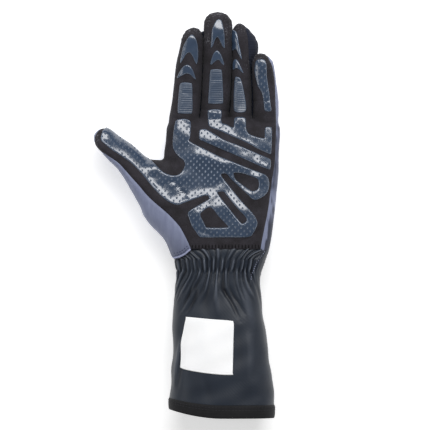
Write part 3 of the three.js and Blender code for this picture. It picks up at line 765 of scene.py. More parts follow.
pricked = node(suede, "ShaderNodeMath", {0: pricks.outputs[0], 1: eased.outputs["Fac"]},
               operation="MULTIPLY")
cloth = node(suede, "ShaderNodeMix", {0: pricked.outputs[0], 6: brushed.outputs[2], 7: linear("#5a5a5f")},
             data_type="RGBA")
bump = node(suede, "ShaderNodeBump", {"Height": grain.outputs["Fac"], "Strength": 0.35, "Distance": 0.0003})
finish_material(suede, out, node(suede, "ShaderNodeBsdfPrincipled", {
    "Base Color": cloth.outputs[2], "Roughness": 0.85, "Specular IOR Level": 0.2, "Sheen Weight": 0.04,
    "Sheen Roughness": 0.5, "Normal": bump.outputs[0],
}))
panel_piece("suede_front", in_suede, SUEDE_THICK, SUEDE_PROUD, suede, ["palm_panel"], "suede",
            {"eased": fingertip_band})


# Woven back and thumb gusset
# A light stretch weave with a satin thread, dyed lavender grey, with a navy field towards the
# little finger's outer edge whose border breaks up in streaks along the warp.
# In mm: thickness, and how far the gusset stands proud of the skin
WEAVE_THICK = 1.0
GUSSET_PROUD = 0.15


def navy_dye_and_painted_shade(points):
    """Share of navy, 0 to 1, the sum of three: navy dye full below 24 squares up and gone at 44, from
    about 2.6 squares outside the seam; only streaks of dye round 45 up; and a thinner painted shade
    beside the palm from 50 to 132 up, where the strip curves away. Streaks along the warp break up its
    border."""
    up = squares_of(points)[:, 1]
    seam = np.interp(points[:, 1], outer_line[:, 1], outer_line[:, 0])
    out_from = (points[:, 0] - seam) / SQUARE
    streak = wave_noise(points * [1.6, 0.25, 0.6], 3.0, 8)
    lower = np.clip((44 - up) / 20, 0, 1) * np.clip((out_from - 2.6 + 1.2 * streak) / 1.2, 0, 1)
    middle = np.exp(-((up - 45) / 11) ** 2) * np.clip(streak - 0.15, 0, 1) * 0.9
    # Painted shade along the strip beside the palm, where it curves away from the light
    painted_shade_beside_palm = 0.62 * np.clip((up - 50) / 14, 0, 1) * np.clip((132 - up) / 12, 0, 1)
    painted_shade_beside_palm = painted_shade_beside_palm * (1 + 0.3 * streak)
    return np.clip(np.where(out_from > -1.5, lower + middle + painted_shade_beside_palm, 0), 0, 1)


def darker_towards_hem(points):
    """Share of the darker navy mixed into the gusset over its last squares, so it is darker towards the hem.
    """
    return 0.42 * np.clip((18 - squares_of(points)[:, 1]) / 22, 0, 1)


# Satin stretch weave: pale lavender grey with soft streaks along the warp, and a slight shine. Its
# rows, really about 0.3 mm apart, are drawn every 1.5 mm so that they show.
weave, out, where = new_material("satin_stretch_weave")
twill_rows = node(weave, "ShaderNodeTexWave", {
    "Vector": where, "Scale": bands(1.496, np.pi / 5), "Distortion": 1.2, "Detail": 1.0,
}, wave_type="BANDS", bands_direction="DIAGONAL")
warp = node(weave, "ShaderNodeMapping", {"Vector": where, "Rotation": (0, 0, 0.7), "Scale": (5, 0.6, 2)})
soft = node(weave, "ShaderNodeTexNoise", {"Vector": warp.outputs[0], "Scale": 1000 / 12.0, "Detail": 3.0})
fine = node(weave, "ShaderNodeTexNoise", {"Vector": where, "Scale": 1000 / 0.9, "Detail": 2.0})
level = node(weave, "ShaderNodeMapRange", {"Value": soft.outputs["Fac"], 1: 0.3, 2: 0.7})
pale = node(weave, "ShaderNodeMix", {0: level.outputs[0], 6: linear("#757b95"), 7: linear("#8188a1")},
            data_type="RGBA")
# The navy mix carries the navy dye, the painted shade beside the palm and the darkening towards the gusset's
# hem
navy = node(weave, "ShaderNodeAttribute", attribute_name="navy")
navy_mixed = node(weave, "ShaderNodeMix", {0: navy.outputs["Fac"], 6: pale.outputs[2], 7: linear("#2a2f40")},
            data_type="RGBA")
height = node(weave, "ShaderNodeMath", {0: twill_rows.outputs["Fac"], 1: fine.outputs["Fac"]},
              operation="ADD")
bump = node(weave, "ShaderNodeBump", {"Height": height.outputs[0], "Strength": 0.3, "Distance": 0.0002})
finish_material(weave, out, node(weave, "ShaderNodeBsdfPrincipled", {
    "Base Color": navy_mixed.outputs[2], "Roughness": 0.6, "Specular IOR Level": 0.3, "Sheen Weight": 0.08,
    "Sheen Roughness": 0.4, "Normal": bump.outputs[0],
}))
panel_piece("woven_back", in_back, WEAVE_THICK, 0.0, weave, ["back_panel"], "woven",
            {"navy": navy_dye_and_painted_shade})
panel_piece("thumb_gusset_weave", in_gusset, WEAVE_THICK, GUSSET_PROUD, weave, ["thumb_gusset"],
            # The gusset is mixed darker towards the hem
            "woven", {"navy": darker_towards_hem})


# Knit strips between the fingers
# Fine ribbed stretch knit in dark navy, sewn as one strip down one finger and up the next.
KNIT_THICK = 0.9

# Ribbed knit: matt, nearly black navy. Its ribs, really under 1 mm apart, are drawn every 2 mm so
# that they show in the gap.
knit, out, where = new_material("ribbed_knit")
ribs = node(knit, "ShaderNodeTexWave", {"Vector": where, "Scale": bands(1.9635), "Distortion": 0.6},
            wave_type="BANDS", bands_direction="Y")
yarn = node(knit, "ShaderNodeTexNoise", {"Vector": where, "Scale": 1000 / 3.0, "Detail": 3.0})
dark_yarn = node(knit, "ShaderNodeMix", {0: yarn.outputs["Fac"], 6: linear("#141722"), 7: linear("#1f2433")},
                 data_type="RGBA")
bump = node(knit, "ShaderNodeBump", {"Height": ribs.outputs["Fac"], "Strength": 0.4, "Distance": 0.0003})
finish_material(knit, out, node(knit, "ShaderNodeBsdfPrincipled", {
    "Base Color": dark_yarn.outputs[2], "Roughness": 0.8, "Specular IOR Level": 0.2, "Sheen Weight": 0.04,
    "Normal": bump.outputs[0],
}))
for strip_name, strip_in in in_strip.items():
    panel_piece(f"knit_{strip_name}", strip_in, KNIT_THICK, 0.0, knit, [f"fourchette_{strip_name}"],
                "knit")


# Silicone prints
# Screen-printed silicone, 0.9 mm thick with a round edge, glossy dark blue. The palm, thumb and
# knuckle fields have small dimples in staggered rows, and the finger fields have cross ribs.
# In mm: thickness over the suede, how deep it is sunk in, and the width of its rounded edge and of
# the painted highlight along its rim
PRINT_THICK = 0.85
PRINT_SUNK = 0.15
PRINT_EDGE = 0.9
RIM_HIGHLIGHT_WIDE = 0.45
# Height in mm below which nothing is printed, and the margin of skin round an outline that is cut
PRINT_FLOOR = 12.5
PRINT_MARGIN = 3
# Cross ribs: pitch in squares, depth in mm
RIB_PITCH = 2.24
RIB_DEPTH = 0.085
# Painted glint in the dimples, where they would catch the light: a thin share all over, and across, up,
# share, reach in squares
PAINTED_GLINT_ALL_OVER = 0.05
PAINTED_GLINT_SPOT = [-16, 82, 0.7, 20]


def rib_depth(points):
    """Depth between the cross ribs in mm: a rounded wave along the finger."""
    up = squares_of(points)[:, 1]
    return RIB_DEPTH * (0.5 - 0.5 * np.cos(2 * np.pi * up / RIB_PITCH))


def print_piece(name, outline, finish, slots=(), ribbed=False):
    """Print cut from the skin by its outline less its slots: its face rises from the suede by a
    quarter-round over PRINT_EDGE, ribs are let into it, and its back sits just in the suede."""
    loops = [smooth_loop(outline)] + [smooth_loop(slot) for slot in slots]
    low, high = loops[0].min(0) - PRINT_MARGIN, loops[0].max(0) + PRINT_MARGIN
    near = ((skin[:, :2] > low) & (skin[:, :2] < high)).all(1) & (skin[:, 2] > PRINT_FLOOR - 2)
    faces = skin_faces[near[skin_faces].all(1)]
    used, faces = np.unique(faces, return_inverse=True)
    columns, faces = np.column_stack([skin, skin_normal])[used], faces.reshape(-1, 3)
    for _ in range(2 if ribbed else 1):
        columns, faces = refine(columns, faces)
    value = np.minimum.reduce([
        inside_loop(columns, loops[0]), *(-inside_loop(columns, slot) for slot in loops[1:]),
    ])
    value = np.minimum(value, columns[:, 2] - PRINT_FLOOR)
    cut, faces = clip(np.column_stack([columns, value]), faces, value)
    points, normal, edge = cut[:, :3], unit(cut[:, 3:6]), cut[:, 6]
    lip = np.clip(edge / PRINT_EDGE, 0, 1)
    rise = SUEDE_PROUD + PRINT_THICK * np.sqrt(1 - (1 - lip) ** 2)
    if ribbed:
        rise = rise - rib_depth(points) * np.clip((edge - 0.4) / 0.5, 0, 1)
    sink = np.full(len(points), PRINT_SUNK - SUEDE_PROUD)
    wall, wall_faces = thicken(points, faces, normal, rise, sink)
    # Painted highlight along the rim: the ink is lightened within RIM_HIGHLIGHT_WIDE of the edge
    rim = np.exp(-(edge / RIM_HIGHLIGHT_WIDE) ** 2)
    # Painted glint in the dimples, strongest in the palm's hollow
    painted_glint = PAINTED_GLINT_ALL_OVER + hump(points[:, 0], points[:, 1], *PAINTED_GLINT_SPOT)
    extra = [("rim", np.tile(rim, 2)), ("painted_glint", np.tile(painted_glint, 2))]
    return make_piece(f"print_{name}", wall, wall_faces, finish, [f"grip_{name}"], "silicone", extra)


# Dimples: spacing in squares, turn of the rows, half width and half height in mm, depth as a
# multiple of the bump's distance
DIMPLE_ACROSS = 6.0
DIMPLE_UP = 3.15
DIMPLE_TURN = np.radians(3.4)
DIMPLE_RADII = (0.7, 0.95)
DIMPLE_DEPTH = 2.7


def silicone_finish(name, dimpled, rough):
    """Printed silicone: glossy slate blue that mirrors the lights, slightly uneven, with a painted
    highlight along its rim. Dimples are upright oval cups at the corners and at the centres of a turned grid
    of
    DIMPLE_ACROSS by twice DIMPLE_UP squares, pressed in by bump, matt, and pale with a painted glint
    where the glint share is high."""
    material, output, where = new_material(name)
    smear = node(material, "ShaderNodeTexNoise", {"Vector": where, "Scale": 1000 / 2.5, "Detail": 2.0})
    cloud = node(material, "ShaderNodeTexNoise", {"Vector": where, "Scale": 1000 / 7.0, "Detail": 3.0})
    ink = node(material, "ShaderNodeMix", {
        0: cloud.outputs["Fac"], 6: linear("#2a384b"), 7: linear("#35465d"),
    }, data_type="RGBA")
    # Painted highlight along the rim: the ink mixes towards a pale blue grey at the edge
    edge = node(material, "ShaderNodeAttribute", attribute_name="rim")
    painted_rim_highlight = node(material, "ShaderNodeMath", {0: edge.outputs["Fac"], 1: 0.6}, operation="MULTIPLY")
    ink = node(material, "ShaderNodeMix", {0: painted_rim_highlight.outputs[0], 6: ink.outputs[2], 7: linear("#78869c")},
               data_type="RGBA")
    height = node(material, "ShaderNodeMath", {0: smear.outputs["Fac"], 1: 0.5}, operation="MULTIPLY")
    gloss = rough
    if dimpled:
        cell = np.array([DIMPLE_ACROSS, 2 * DIMPLE_UP, 1]) * SQUARE
        grid = node(material, "ShaderNodeMapping", {
            "Vector": where, "Location": (-palm_x / cell[0], -wrist_y / cell[1], 0),
            "Rotation": (0, 0, DIMPLE_TURN), "Scale": tuple(1000 / cell),
        })
        oval = (cell[0] / DIMPLE_RADII[0], cell[1] / DIMPLE_RADII[1], 0)
        cups = []
        for shift in (0.0, 0.5):
            moved = node(material, "ShaderNodeVectorMath", {0: grid.outputs[0], 1: (shift, shift, 0)},
                         operation="ADD")
            part = node(material, "ShaderNodeVectorMath", {0: moved.outputs[0]}, operation="FRACTION")
            off = node(material, "ShaderNodeVectorMath", {0: part.outputs[0], 1: (0.5, 0.5, 0)},
                       operation="SUBTRACT")
            sized = node(material, "ShaderNodeVectorMath", {0: off.outputs[0], 1: oval}, operation="MULTIPLY")
            reach = node(material, "ShaderNodeVectorMath", {0: sized.outputs[0], 1: sized.outputs[0]},
                         operation="DOT_PRODUCT")
            cups.append(node(material, "ShaderNodeMapRange", {
                "Value": reach.outputs["Value"], 1: 0.0, 2: 1.0, 3: 1.0, 4: 0.0,
            }).outputs[0])
        cup = node(material, "ShaderNodeMath", {0: cups[0], 1: cups[1]}, operation="MAXIMUM")
        # Painted glint: the cups are lightened towards a pale blue grey where the glint share is high
        painted_glint = node(material, "ShaderNodeAttribute", attribute_name="painted_glint")
        glint_in_cups = node(material, "ShaderNodeMath", {0: cup.outputs[0], 1: painted_glint.outputs["Fac"]},
                      operation="MULTIPLY")
        ink = node(material, "ShaderNodeMix", {0: glint_in_cups.outputs[0], 6: ink.outputs[2], 7: linear("#8c99ad")},
                   data_type="RGBA")
        height = node(material, "ShaderNodeMath", {0: cup.outputs[0], 1: -DIMPLE_DEPTH}, operation="MULTIPLY")
        gloss = node(material, "ShaderNodeMapRange", {
            "Value": cup.outputs[0], 1: 0.0, 2: 0.35, 3: rough, 4: 0.8,
        }).outputs[0]
    bump = node(material, "ShaderNodeBump", {
        "Height": height.outputs[0], "Strength": 1.0, "Distance": 0.00008,
    })
    return finish_material(material, output, node(material, "ShaderNodeBsdfPrincipled", {
        "Base Color": ink.outputs[2], "Roughness": gloss, "IOR": 1.55, "Specular IOR Level": 1.0,
        "Normal": bump.outputs[0],
    }))


smooth_silicone = silicone_finish("printed_silicone", False, 0.22)
ribbed_silicone = silicone_finish("ribbed_silicone", False, 0.36)
dimpled_silicone = silicone_finish("dimpled_silicone", True, 0.22)
# Outlines of the prints, and of the slots left open in the palm's field, as squares [across, up]
FINGER_PRINTS = {
    "index": {
        "tip": [[-43.5, 186], [-42, 195], [-40, 203], [-36.5, 210], [-32.5, 214.2], [-29, 211.5],
                [-27, 206], [-26, 197], [-26.5, 189], [-27.5, 185], [-29, 187], [-32, 193.5],
                [-34.5, 196.3], [-38, 194.5], [-41, 189.5]],
        "chevron": [[-46.5, 171], [-44.5, 176], [-41, 182], [-36.5, 184.2], [-33, 182], [-30.5, 177],
                    [-28.5, 170], [-30.5, 171], [-33.5, 174], [-37.5, 175.3], [-42.5, 173]],
        "ribs": [[-43.5, 165], [-40, 166.5], [-34, 166], [-32, 164], [-31.7, 151], [-32, 137],
                 [-35, 135.3], [-43, 135.5], [-46, 137], [-45.5, 149], [-44.5, 159]],
    },
    "middle": {
        "tip": [[-13, 201.5], [-12.5, 209], [-12, 217], [-10, 224], [-7.5, 228.5], [-5, 229.7],
                [-2.5, 228], [-1, 222], [0.2, 215], [0.5, 207], [0.5, 201], [-1.5, 202.5], [-4, 208],
                [-6.5, 211.8], [-9, 209], [-11, 203.5]],
        "chevron": [[-13.5, 185], [-12, 191], [-10, 196], [-7, 198.5], [-4, 196], [-1.5, 190.5],
                    [0, 184], [-2.5, 185.5], [-4.5, 188.5], [-7, 188.7], [-10, 186.5], [-12, 184.5]],
        "ribs": [[-13.5, 177.5], [-11, 179.5], [-4, 179.5], [-2.2, 177], [-1.5, 164], [-1, 148],
                 [-3, 145.3], [-13.5, 145.3], [-15.5, 147.5], [-14.5, 164]],
    },
    "ring": {
        "tip": [[8, 217.5], [11.5, 218], [13.5, 214], [15, 205], [17, 196], [17.8, 189.5], [15, 194],
                [13, 198.5], [11, 200], [8.5, 199.5]],
        "chevron": [[10.5, 189], [12.5, 189.5], [15, 186.5], [17, 182], [19.5, 176], [17, 177.5],
                    [14.5, 180], [11.5, 180.5], [9.5, 179.5], [9.3, 185]],
        "ribs": [[11.5, 171], [13.5, 172], [16, 171], [18, 166], [20.5, 154], [22, 141], [20.5, 137],
                 [16, 136.3], [12, 137], [10.2, 141], [10.5, 159]],
    },
}
for finger_name, prints in FINGER_PRINTS.items():
    print_piece(f"tip_{finger_name}", prints["tip"], smooth_silicone)
    print_piece(f"chevron_{finger_name}", prints["chevron"], smooth_silicone)
    print_piece(f"ribs_{finger_name}", prints["ribs"], ribbed_silicone, ribbed=True)
print_piece("little", [
    [31.5, 185], [33, 188.5], [37.5, 189.7], [41, 188], [42.5, 183], [43, 171], [45, 157], [46.5, 145],
    [47, 138.5], [43.5, 137.5], [40.5, 139.5], [39.5, 149], [37.5, 157], [34.5, 162], [32.5, 169], [31, 177],
], dimpled_silicone)
MAIN_FIELD = [
    [-49, 124], [-47.5, 128.5], [-41, 130.2], [-34.5, 128.5], [-33.2, 124], [-33.5, 117], [-34, 111],
    [-35, 108.5], [-31, 105.5], [-24, 102], [-14, 97], [-4, 92], [6, 88], [16, 84], [26, 80], [34, 77],
    [40, 74.5], [44, 70.5], [44.5, 61], [41, 54], [33, 49.3], [28, 50], [24, 54], [15, 62.5], [7, 70],
    [3.5, 74.3], [0, 75.5], [-2.8, 73.5], [3, 65.5], [11, 55.5], [19, 46], [28, 36], [32, 30], [33, 24],
    [29, 16], [24, 12], [2, 11.6], [-21, 11.5], [-25, 13], [-28, 17], [-32, 23], [-35, 31], [-36, 35],
    [-33, 39], [-17, 48.5], [-15, 50.5], [-18, 53.5], [-34, 48.2], [-40, 46], [-46, 44], [-52, 45.5],
    [-58, 49], [-66, 56], [-74, 65], [-83, 76], [-93, 86], [-103, 93], [-112, 99], [-118, 104],
    [-123, 109], [-122, 116], [-119, 120.5], [-115.5, 122.5], [-110, 120], [-104, 114.5], [-97, 109],
    [-92, 105], [-85, 99.5], [-77, 91.5], [-70, 85.5], [-63, 78.5], [-57, 74.8], [-50, 73.2], [-44, 75],
    [-39.3, 82], [-40, 88], [-45, 92], [-49.5, 98], [-51, 104], [-50.5, 114],
]
UPPER_LOOP = [[10, 75.8], [18, 75.5], [29, 72], [34, 69], [34.5, 62], [32, 58.5], [27, 58], [21, 62],
              [12, 69], [10, 73]]
LOWER_LOOP = [[-13.5, 41.5], [-22.5, 36.5], [-23.5, 33], [-21, 28], [-18.5, 23], [-16, 21.3], [1.5, 21.3],
              [3.5, 23], [-5, 32]]
INNER_SLOT = [[-6, 55], [-4, 57.2], [0, 57], [2, 54.5], [12, 42], [21, 32.5], [22.5, 28.5], [19.5, 25.5],
              [16, 27], [5, 40.5]]
print_piece("palm", MAIN_FIELD, dimpled_silicone, (UPPER_LOOP, LOWER_LOOP, INNER_SLOT))
print_piece("bar", [
    [-24.5, 118], [-21, 119.7], [-16, 118.5], [-7, 113], [2, 108], [14, 103.5], [26, 98.5], [36, 94],
    [45.5, 89.7], [46.5, 86], [46, 81], [44, 79.7], [31, 85], [11, 94], [-9, 102.5], [-20, 107.5],
    [-24.5, 110],
], dimpled_silicone)
print_piece("knuckle", [
    [-16, 137], [-15, 139], [-9.5, 139.7], [-3.5, 139], [-2.5, 136.5], [-2.5, 126.5], [3, 124], [8, 121.3],
    [9.8, 122.5], [10.3, 129], [12, 131.2], [16, 131.8], [20.5, 131], [21.7, 128], [22, 121], [24, 116],
    [29, 113], [38, 110.7], [40.6, 111.5], [40.8, 119], [42, 121.7], [46, 121.7], [47.5, 120], [47.7, 109],
    [47, 96.5], [46, 94.7], [42, 96.3], [34, 100], [21, 107], [7, 113], [-4, 118], [-11, 120.5],
    [-14, 122], [-15.7, 125], [-16, 131],
], dimpled_silicone)


# Gauntlet cuff
# One tube of dense dark twill. Two lines of elastic sewn inside gather it at the wrist in even
# pleats that shift by half a pleat below the elastic, and long soft folds run down from them.
CUFF_THICK = 1.2
# Points round a ring, rings outside and inside, and where they start and end in squares down
CUFF_ROUND = 420
CUFF_RINGS = 190
CUFF_INNER_RINGS = 40
CUFF_FROM = -2.5
CUFF_TO = 156
# Roundness of its section, and the squares that its end rises on the thumb's side by CUFF_END down
CUFF_POWER = 2.4
CUFF_SLANT = 9
CUFF_END = 169
# down, left edge, right edge, height in mm
CUFF_ROWS = [
    [-3, -52.5, 45, 34.5], [0, -52.5, 45, 35.2], [7, -50.5, 43, 35.8], [15, -48.2, 40.3, 35.6],
    [22, -46.8, 37.8, 35.2], [27, -46.6, 36.6, 35.4], [35, -48, 36.2, 36], [47, -49.5, 37.3, 37],
    [63, -51, 38.5, 38.8], [79, -51.8, 41.3, 40.6], [95, -51.5, 43.5, 42], [110, -51, 45.2, 43],
    [127, -53, 48.2, 44.2], [143, -53.2, 50, 45.2], [156, -54.5, 50.3, 46], [170, -55, 49.6, 46.2],
]
# Pleats: how many round the cuff, their turn round it, and in mm the crest's height and the
# valley's depth. In radians of one pleat's 2 pi: the crest's half width, and where the valley lies
# beside it and its half width.
PLEATS = 24
PLEAT_TURN = 2.1
PLEAT_CREST = 1.25
PLEAT_VALLEY = 0.8
CREST_HALF = 0.62
VALLEY_AT = 1.45
VALLEY_HALF = 0.55
# Lines of elastic: squares down, and the depth that they draw the cloth in by in mm
ELASTIC_DOWN = (22.5, 10.5)
ELASTIC_DEPTH = 0.15
# Side seam: squares down, its angle round the cuff, and its depth in mm
SIDE_SEAM_DOWN = [-1, 6, 13, 21, 31]
SIDE_SEAM_ANGLE = [0.37, 0.5, 0.64, 0.69, 0.72]
SIDE_SEAM_DEPTH = 0.5
# Long folds: rows of knots [across, down], then depth in mm and half width in squares
LONG_FOLDS = [
    ([[-26, 26], [-28, 34], [-34, 44], [-39, 53], [-43, 64]], 1.3, 1.8),
    ([[-26, 38], [-30, 51], [-38, 66]], 1.3, 2.0), ([[-31, 42], [-38, 56], [-44, 68]], -0.6, 1.6),
    ([[-1, 22], [-1.5, 38], [1, 43], [8, 54], [16, 72]], 1.7, 2.0),
    ([[4, 36], [10, 48], [14, 54], [22, 68]], 0.9, 2.2),
    ([[-5, 28], [-8, 41], [-7, 52], [-5, 70]], -0.8, 3.0),
    ([[16, 28], [21, 42], [24, 58], [32, 84]], -0.9, 4.5),
    ([[30, 30], [35, 45], [38, 58], [44, 100]], 0.8, 1.5),
    ([[-42, 86], [-46, 112], [-50, 144]], -1.0, 2.2), ([[-38, 90], [-43, 116], [-47, 146]], 0.9, 2.6),
    ([[-16, 34], [-18, 52], [-17, 70]], 0.6, 5.0), ([[22, 70], [26, 100], [24, 140]], -0.5, 6.0),
    ([[14, 74], [17, 100], [16, 130]], 0.45, 5.0), ([[-20, 126], [-16, 140], [-14, 158]], 0.4, 5.0),
]


def cuff_form(angle, down, grow):
    """Smooth form of the cuff: a superellipse between the edges and the height. Gives x and z in mm,
    the middle, the half width and the half height."""
    left, right, high = read_rows(down, CUFF_ROWS)
    bend = lambda v: np.sign(v) * np.abs(v) ** (2 / CUFF_POWER)
    half = (right - left) / 2 * SQUARE + grow
    tall = (high + 1) / 2 + grow
    middle = (left + right) / 2 * SQUARE
    x = middle + half * bend(np.cos(angle))
    z = (high - 1) / 2 + tall * bend(np.sin(angle))
    return x, z, middle, half, tall


# Share of the way round the cuff at each angle, by arc length in the waist
WAIST_DOWN = 20.0
WAIST_STEPS = 1500
round_steps = np.linspace(-np.pi, np.pi, WAIST_STEPS)
pleat_x, pleat_z, *_ = cuff_form(round_steps, np.full(WAIST_STEPS, WAIST_DOWN), 0)
pleat_share = np.append(0, np.cumsum(np.hypot(np.diff(pleat_x), np.diff(pleat_z))))
pleat_share /= pleat_share[-1]
# Runs of pleats between the elastic lines: half a pleat's shift, where the run starts and how fast
# it rises, where it ends and how fast it falls in squares down, and its height
PLEAT_RUNS = [(np.pi, -2, 2, 14, 6, 0.8), (0, 7, 6, 25, 5, 1.0), (np.pi, 18, 6, 56, 32, 1.1)]


def pleats(angle, down):
    """Height of the pleats in mm, evenly spaced by arc length from the front's middle and fanning
    out away from the elastic: a narrow crest with a valley on each side. They wander and differ in
    height a little, and the smooth side panel, from -0.5 to 0.7 radians, has few."""
    turned = (angle + np.pi) % (2 * np.pi) - np.pi
    share = np.interp(turned, round_steps, pleat_share) - np.interp(np.pi / 2, round_steps, pleat_share)
    share = (share + 0.5) % 1 - 0.5
    fan = np.clip(0.035 * np.maximum(10 - down, 0) + 0.012 * np.maximum(down - 22, 0), 0, 0.6)
    share = share * (1 - fan) + fan * 4 * share**3
    wander = 0.5 * np.sin(11 * turned + 0.8) + 0.3 * np.sin(5 * turned + down / 7)
    turn = 2 * np.pi * PLEATS * share + PLEAT_TURN + wander
    side_panel = np.clip((turned + 0.5) / 0.2, 0, 1) * np.clip((0.7 - turned) / 0.12, 0, 1)
    size = 1 + 0.25 * np.sin(7 * turned + 2) + 0.15 * np.sin(3 * turned + down / 5)
    size = size * (1 - 0.9 * side_panel)
    out = 0
    for shift, start, rise, end, fall, height in PLEAT_RUNS:
        run = np.clip((down - start) / rise, 0, 1) * np.clip((end - down) / fall, 0, 1) ** 1.3
        beside = np.abs((turn + shift + np.pi) % (2 * np.pi) - np.pi)
        crest = PLEAT_CREST * np.exp(-(beside / CREST_HALF) ** 2)
        valley = PLEAT_VALLEY * np.exp(-((beside - VALLEY_AT) / VALLEY_HALF) ** 2)
        out = out + run * size * height * (crest - valley)
    return out


def fold_depth(x, down, angle):
    """Depth in mm of the long folds on the cuff's front: along each one half a sine wave, and across
    it a round groove, depth times exp(-(distance / width)^2)."""
    spot = np.stack([x.ravel() / SQUARE, (down + 0 * x).ravel()], 1)
    folds = np.zeros(len(spot))
    for knots, depth, width in LONG_FOLDS:
        stops = np.linspace(0, 1, len(knots))
        line = np.stack(read_rows(np.linspace(0, 1, 24), np.column_stack([stops, knots])), 1)
        gap, share = along_line(spot, line)
        deep = depth * np.sin(np.pi * np.clip(share, 0.02, 0.98)) ** 0.8
        folds += deep * np.exp(-(gap / width) ** 2)
    return folds.reshape(x.shape) * np.clip(np.sin(angle) * 3, 0, 1)


def cuff_surface(angle, down, grow=0.0):
    """Point of the cuff at an angle round it and a distance down: its form, moved out by the pleats
    and in by the elastic lines, the side seam and the long folds, and slanted at its end."""
    x, z, middle, half, tall = cuff_form(angle, down, grow)
    out = pleats(angle, down)
    for elastic in ELASTIC_DOWN:
        out = out - ELASTIC_DEPTH * np.exp(-((down - elastic) / 2) ** 2)
    seam = np.exp(-((angle - np.interp(down, SIDE_SEAM_DOWN, SIDE_SEAM_ANGLE)) / 0.03) ** 2)
    out = out - SIDE_SEAM_DEPTH * seam * np.clip((46 - down) / 10, 0, 1)
    out = out - fold_depth(x, down, angle)
    cloth = np.stack([x.ravel(), (down + 0 * x).ravel(), z.ravel()], 1)
    out = out + 0.3 * wave_noise(cloth, 26, 11).reshape(x.shape)
    wide, deep = np.cos(angle) / half, np.sin(angle) / tall
    length = np.hypot(wide, deep)
    x = x + out * wide / length
    z = z + out * deep / length
    towards_left = np.clip((middle - x) / half, 0, 1.05)
    lift = CUFF_SLANT * SQUARE * towards_left**1.8 * np.clip(down / CUFF_END, 0, 1) ** 3
    y = wrist_y - down * SQUARE + lift
    return np.stack([palm_x + x, y + 0 * x, np.maximum(z, max(0.0, -grow))], -1)


def grid_faces(rings, sides, closed=True):
    """Two triangles for each cell of a grid of rings. In a closed grid the last point of a ring
    joins its first."""
    i, k = np.meshgrid(np.arange(rings - 1), np.arange(sides - (not closed)), indexing="ij")
    a, b = i * sides + k, i * sides + (k + 1) % sides
    cells = np.stack([a, b, b + sides, a + sides], -1).reshape(-1, 4)
    return np.concatenate([cells[:, [0, 1, 2]], cells[:, [0, 2, 3]]])


def sleeve(profile, angles):
    """Closed band from a loop of (down, grow) pairs carried round the cuff: every ring joins the
    next, and the last joins the first."""
    rings = [cuff_surface(angles, np.full(angles.shape, float(down)), grow) for down, grow in profile]
    points = np.concatenate(rings + rings[:1])
    faces = grid_faces(len(rings) + 1, len(angles))
    count = len(rings) * len(angles)
    return points[:count], faces % count


round_angles = np.linspace(0, 2 * np.pi, CUFF_ROUND, endpoint=False)
downs = np.linspace(CUFF_FROM, CUFF_TO, CUFF_RINGS)
inner_downs = np.linspace(CUFF_TO, CUFF_FROM, CUFF_INNER_RINGS)
cuff_profile = [(d, 0.0) for d in downs] + [(d, -CUFF_THICK) for d in inner_downs]
cuff_points, cuff_faces = sleeve(cuff_profile, round_angles)

# How far each point stands out, for the painted highlight on the crests and the painted shade in the valleys
relief_angle = np.tile(round_angles, len(cuff_profile))
relief_down = np.repeat([down for down, _ in cuff_profile], CUFF_ROUND)
relief_x = cuff_form(relief_angle, relief_down, 0)[0]
painted_light_relief = pleats(relief_angle, relief_down) - 0.7 * fold_depth(relief_x, relief_down, relief_angle)

# Dense twill: near black with a blue cast and a low satin shine, cloudy over 16 mm, with a painted highlight
# on the crests and painted shade in the valleys. Its rows, really about 0.5 mm apart, are drawn every 2.4 mm
# so that they show.
twill, out, where = new_material("dense_twill")
rows_of_twill = node(twill, "ShaderNodeTexWave", {
    "Vector": where, "Scale": bands(2.4166, np.pi / 5), "Distortion": 0.4,
}, wave_type="BANDS", bands_direction="DIAGONAL")
cloud = node(twill, "ShaderNodeTexNoise", {"Vector": where, "Scale": 1000 / 16.0, "Detail": 3.0})
speck = node(twill, "ShaderNodeTexNoise", {"Vector": where, "Scale": 1000 / 0.8, "Detail": 2.0})
dark_cloth = node(twill, "ShaderNodeMix", {
    0: cloud.outputs["Fac"], 6: linear("#181f2a"), 7: linear("#222a36"),
}, data_type="RGBA")
# Painted highlight on the pleats' crests and painted shade in their valleys, from how far each point stands
# out
raised = node(twill, "ShaderNodeAttribute", attribute_name="raised")
painted_crest_highlight = node(twill, "ShaderNodeMapRange", {
    "Value": raised.outputs["Fac"], 1: 0.15, 2: 1.3, 3: 0.0, 4: 0.8,
})
crest_highlit_cloth = node(twill, "ShaderNodeMix", {
    0: painted_crest_highlight.outputs[0], 6: dark_cloth.outputs[2], 7: linear("#5b616d"),
}, data_type="RGBA")
painted_valley_shade = node(twill, "ShaderNodeMapRange", {
    "Value": raised.outputs["Fac"], 1: -0.1, 2: -0.9, 3: 0.0, 4: 0.75,
})
shaded_cloth = node(twill, "ShaderNodeMix", {
    0: painted_valley_shade.outputs[0], 6: crest_highlit_cloth.outputs[2], 7: linear("#0b0e15"),
}, data_type="RGBA")
height = node(twill, "ShaderNodeMath", {0: rows_of_twill.outputs["Fac"], 1: speck.outputs["Fac"]},
              operation="ADD")
bump = node(twill, "ShaderNodeBump", {"Height": height.outputs[0], "Strength": 0.1, "Distance": 0.0002})
finish_material(twill, out, node(twill, "ShaderNodeBsdfPrincipled", {
    "Base Color": shaded_cloth.outputs[2], "Roughness": 0.45, "Specular IOR Level": 0.38,
    "Sheen Weight": 0.02, "Sheen Roughness": 0.45, "Normal": bump.outputs[0],
}))
make_piece("gauntlet_cuff", cuff_points, cuff_faces, twill, ["cuff"], "cuff_cloth", [("raised", painted_light_relief)])


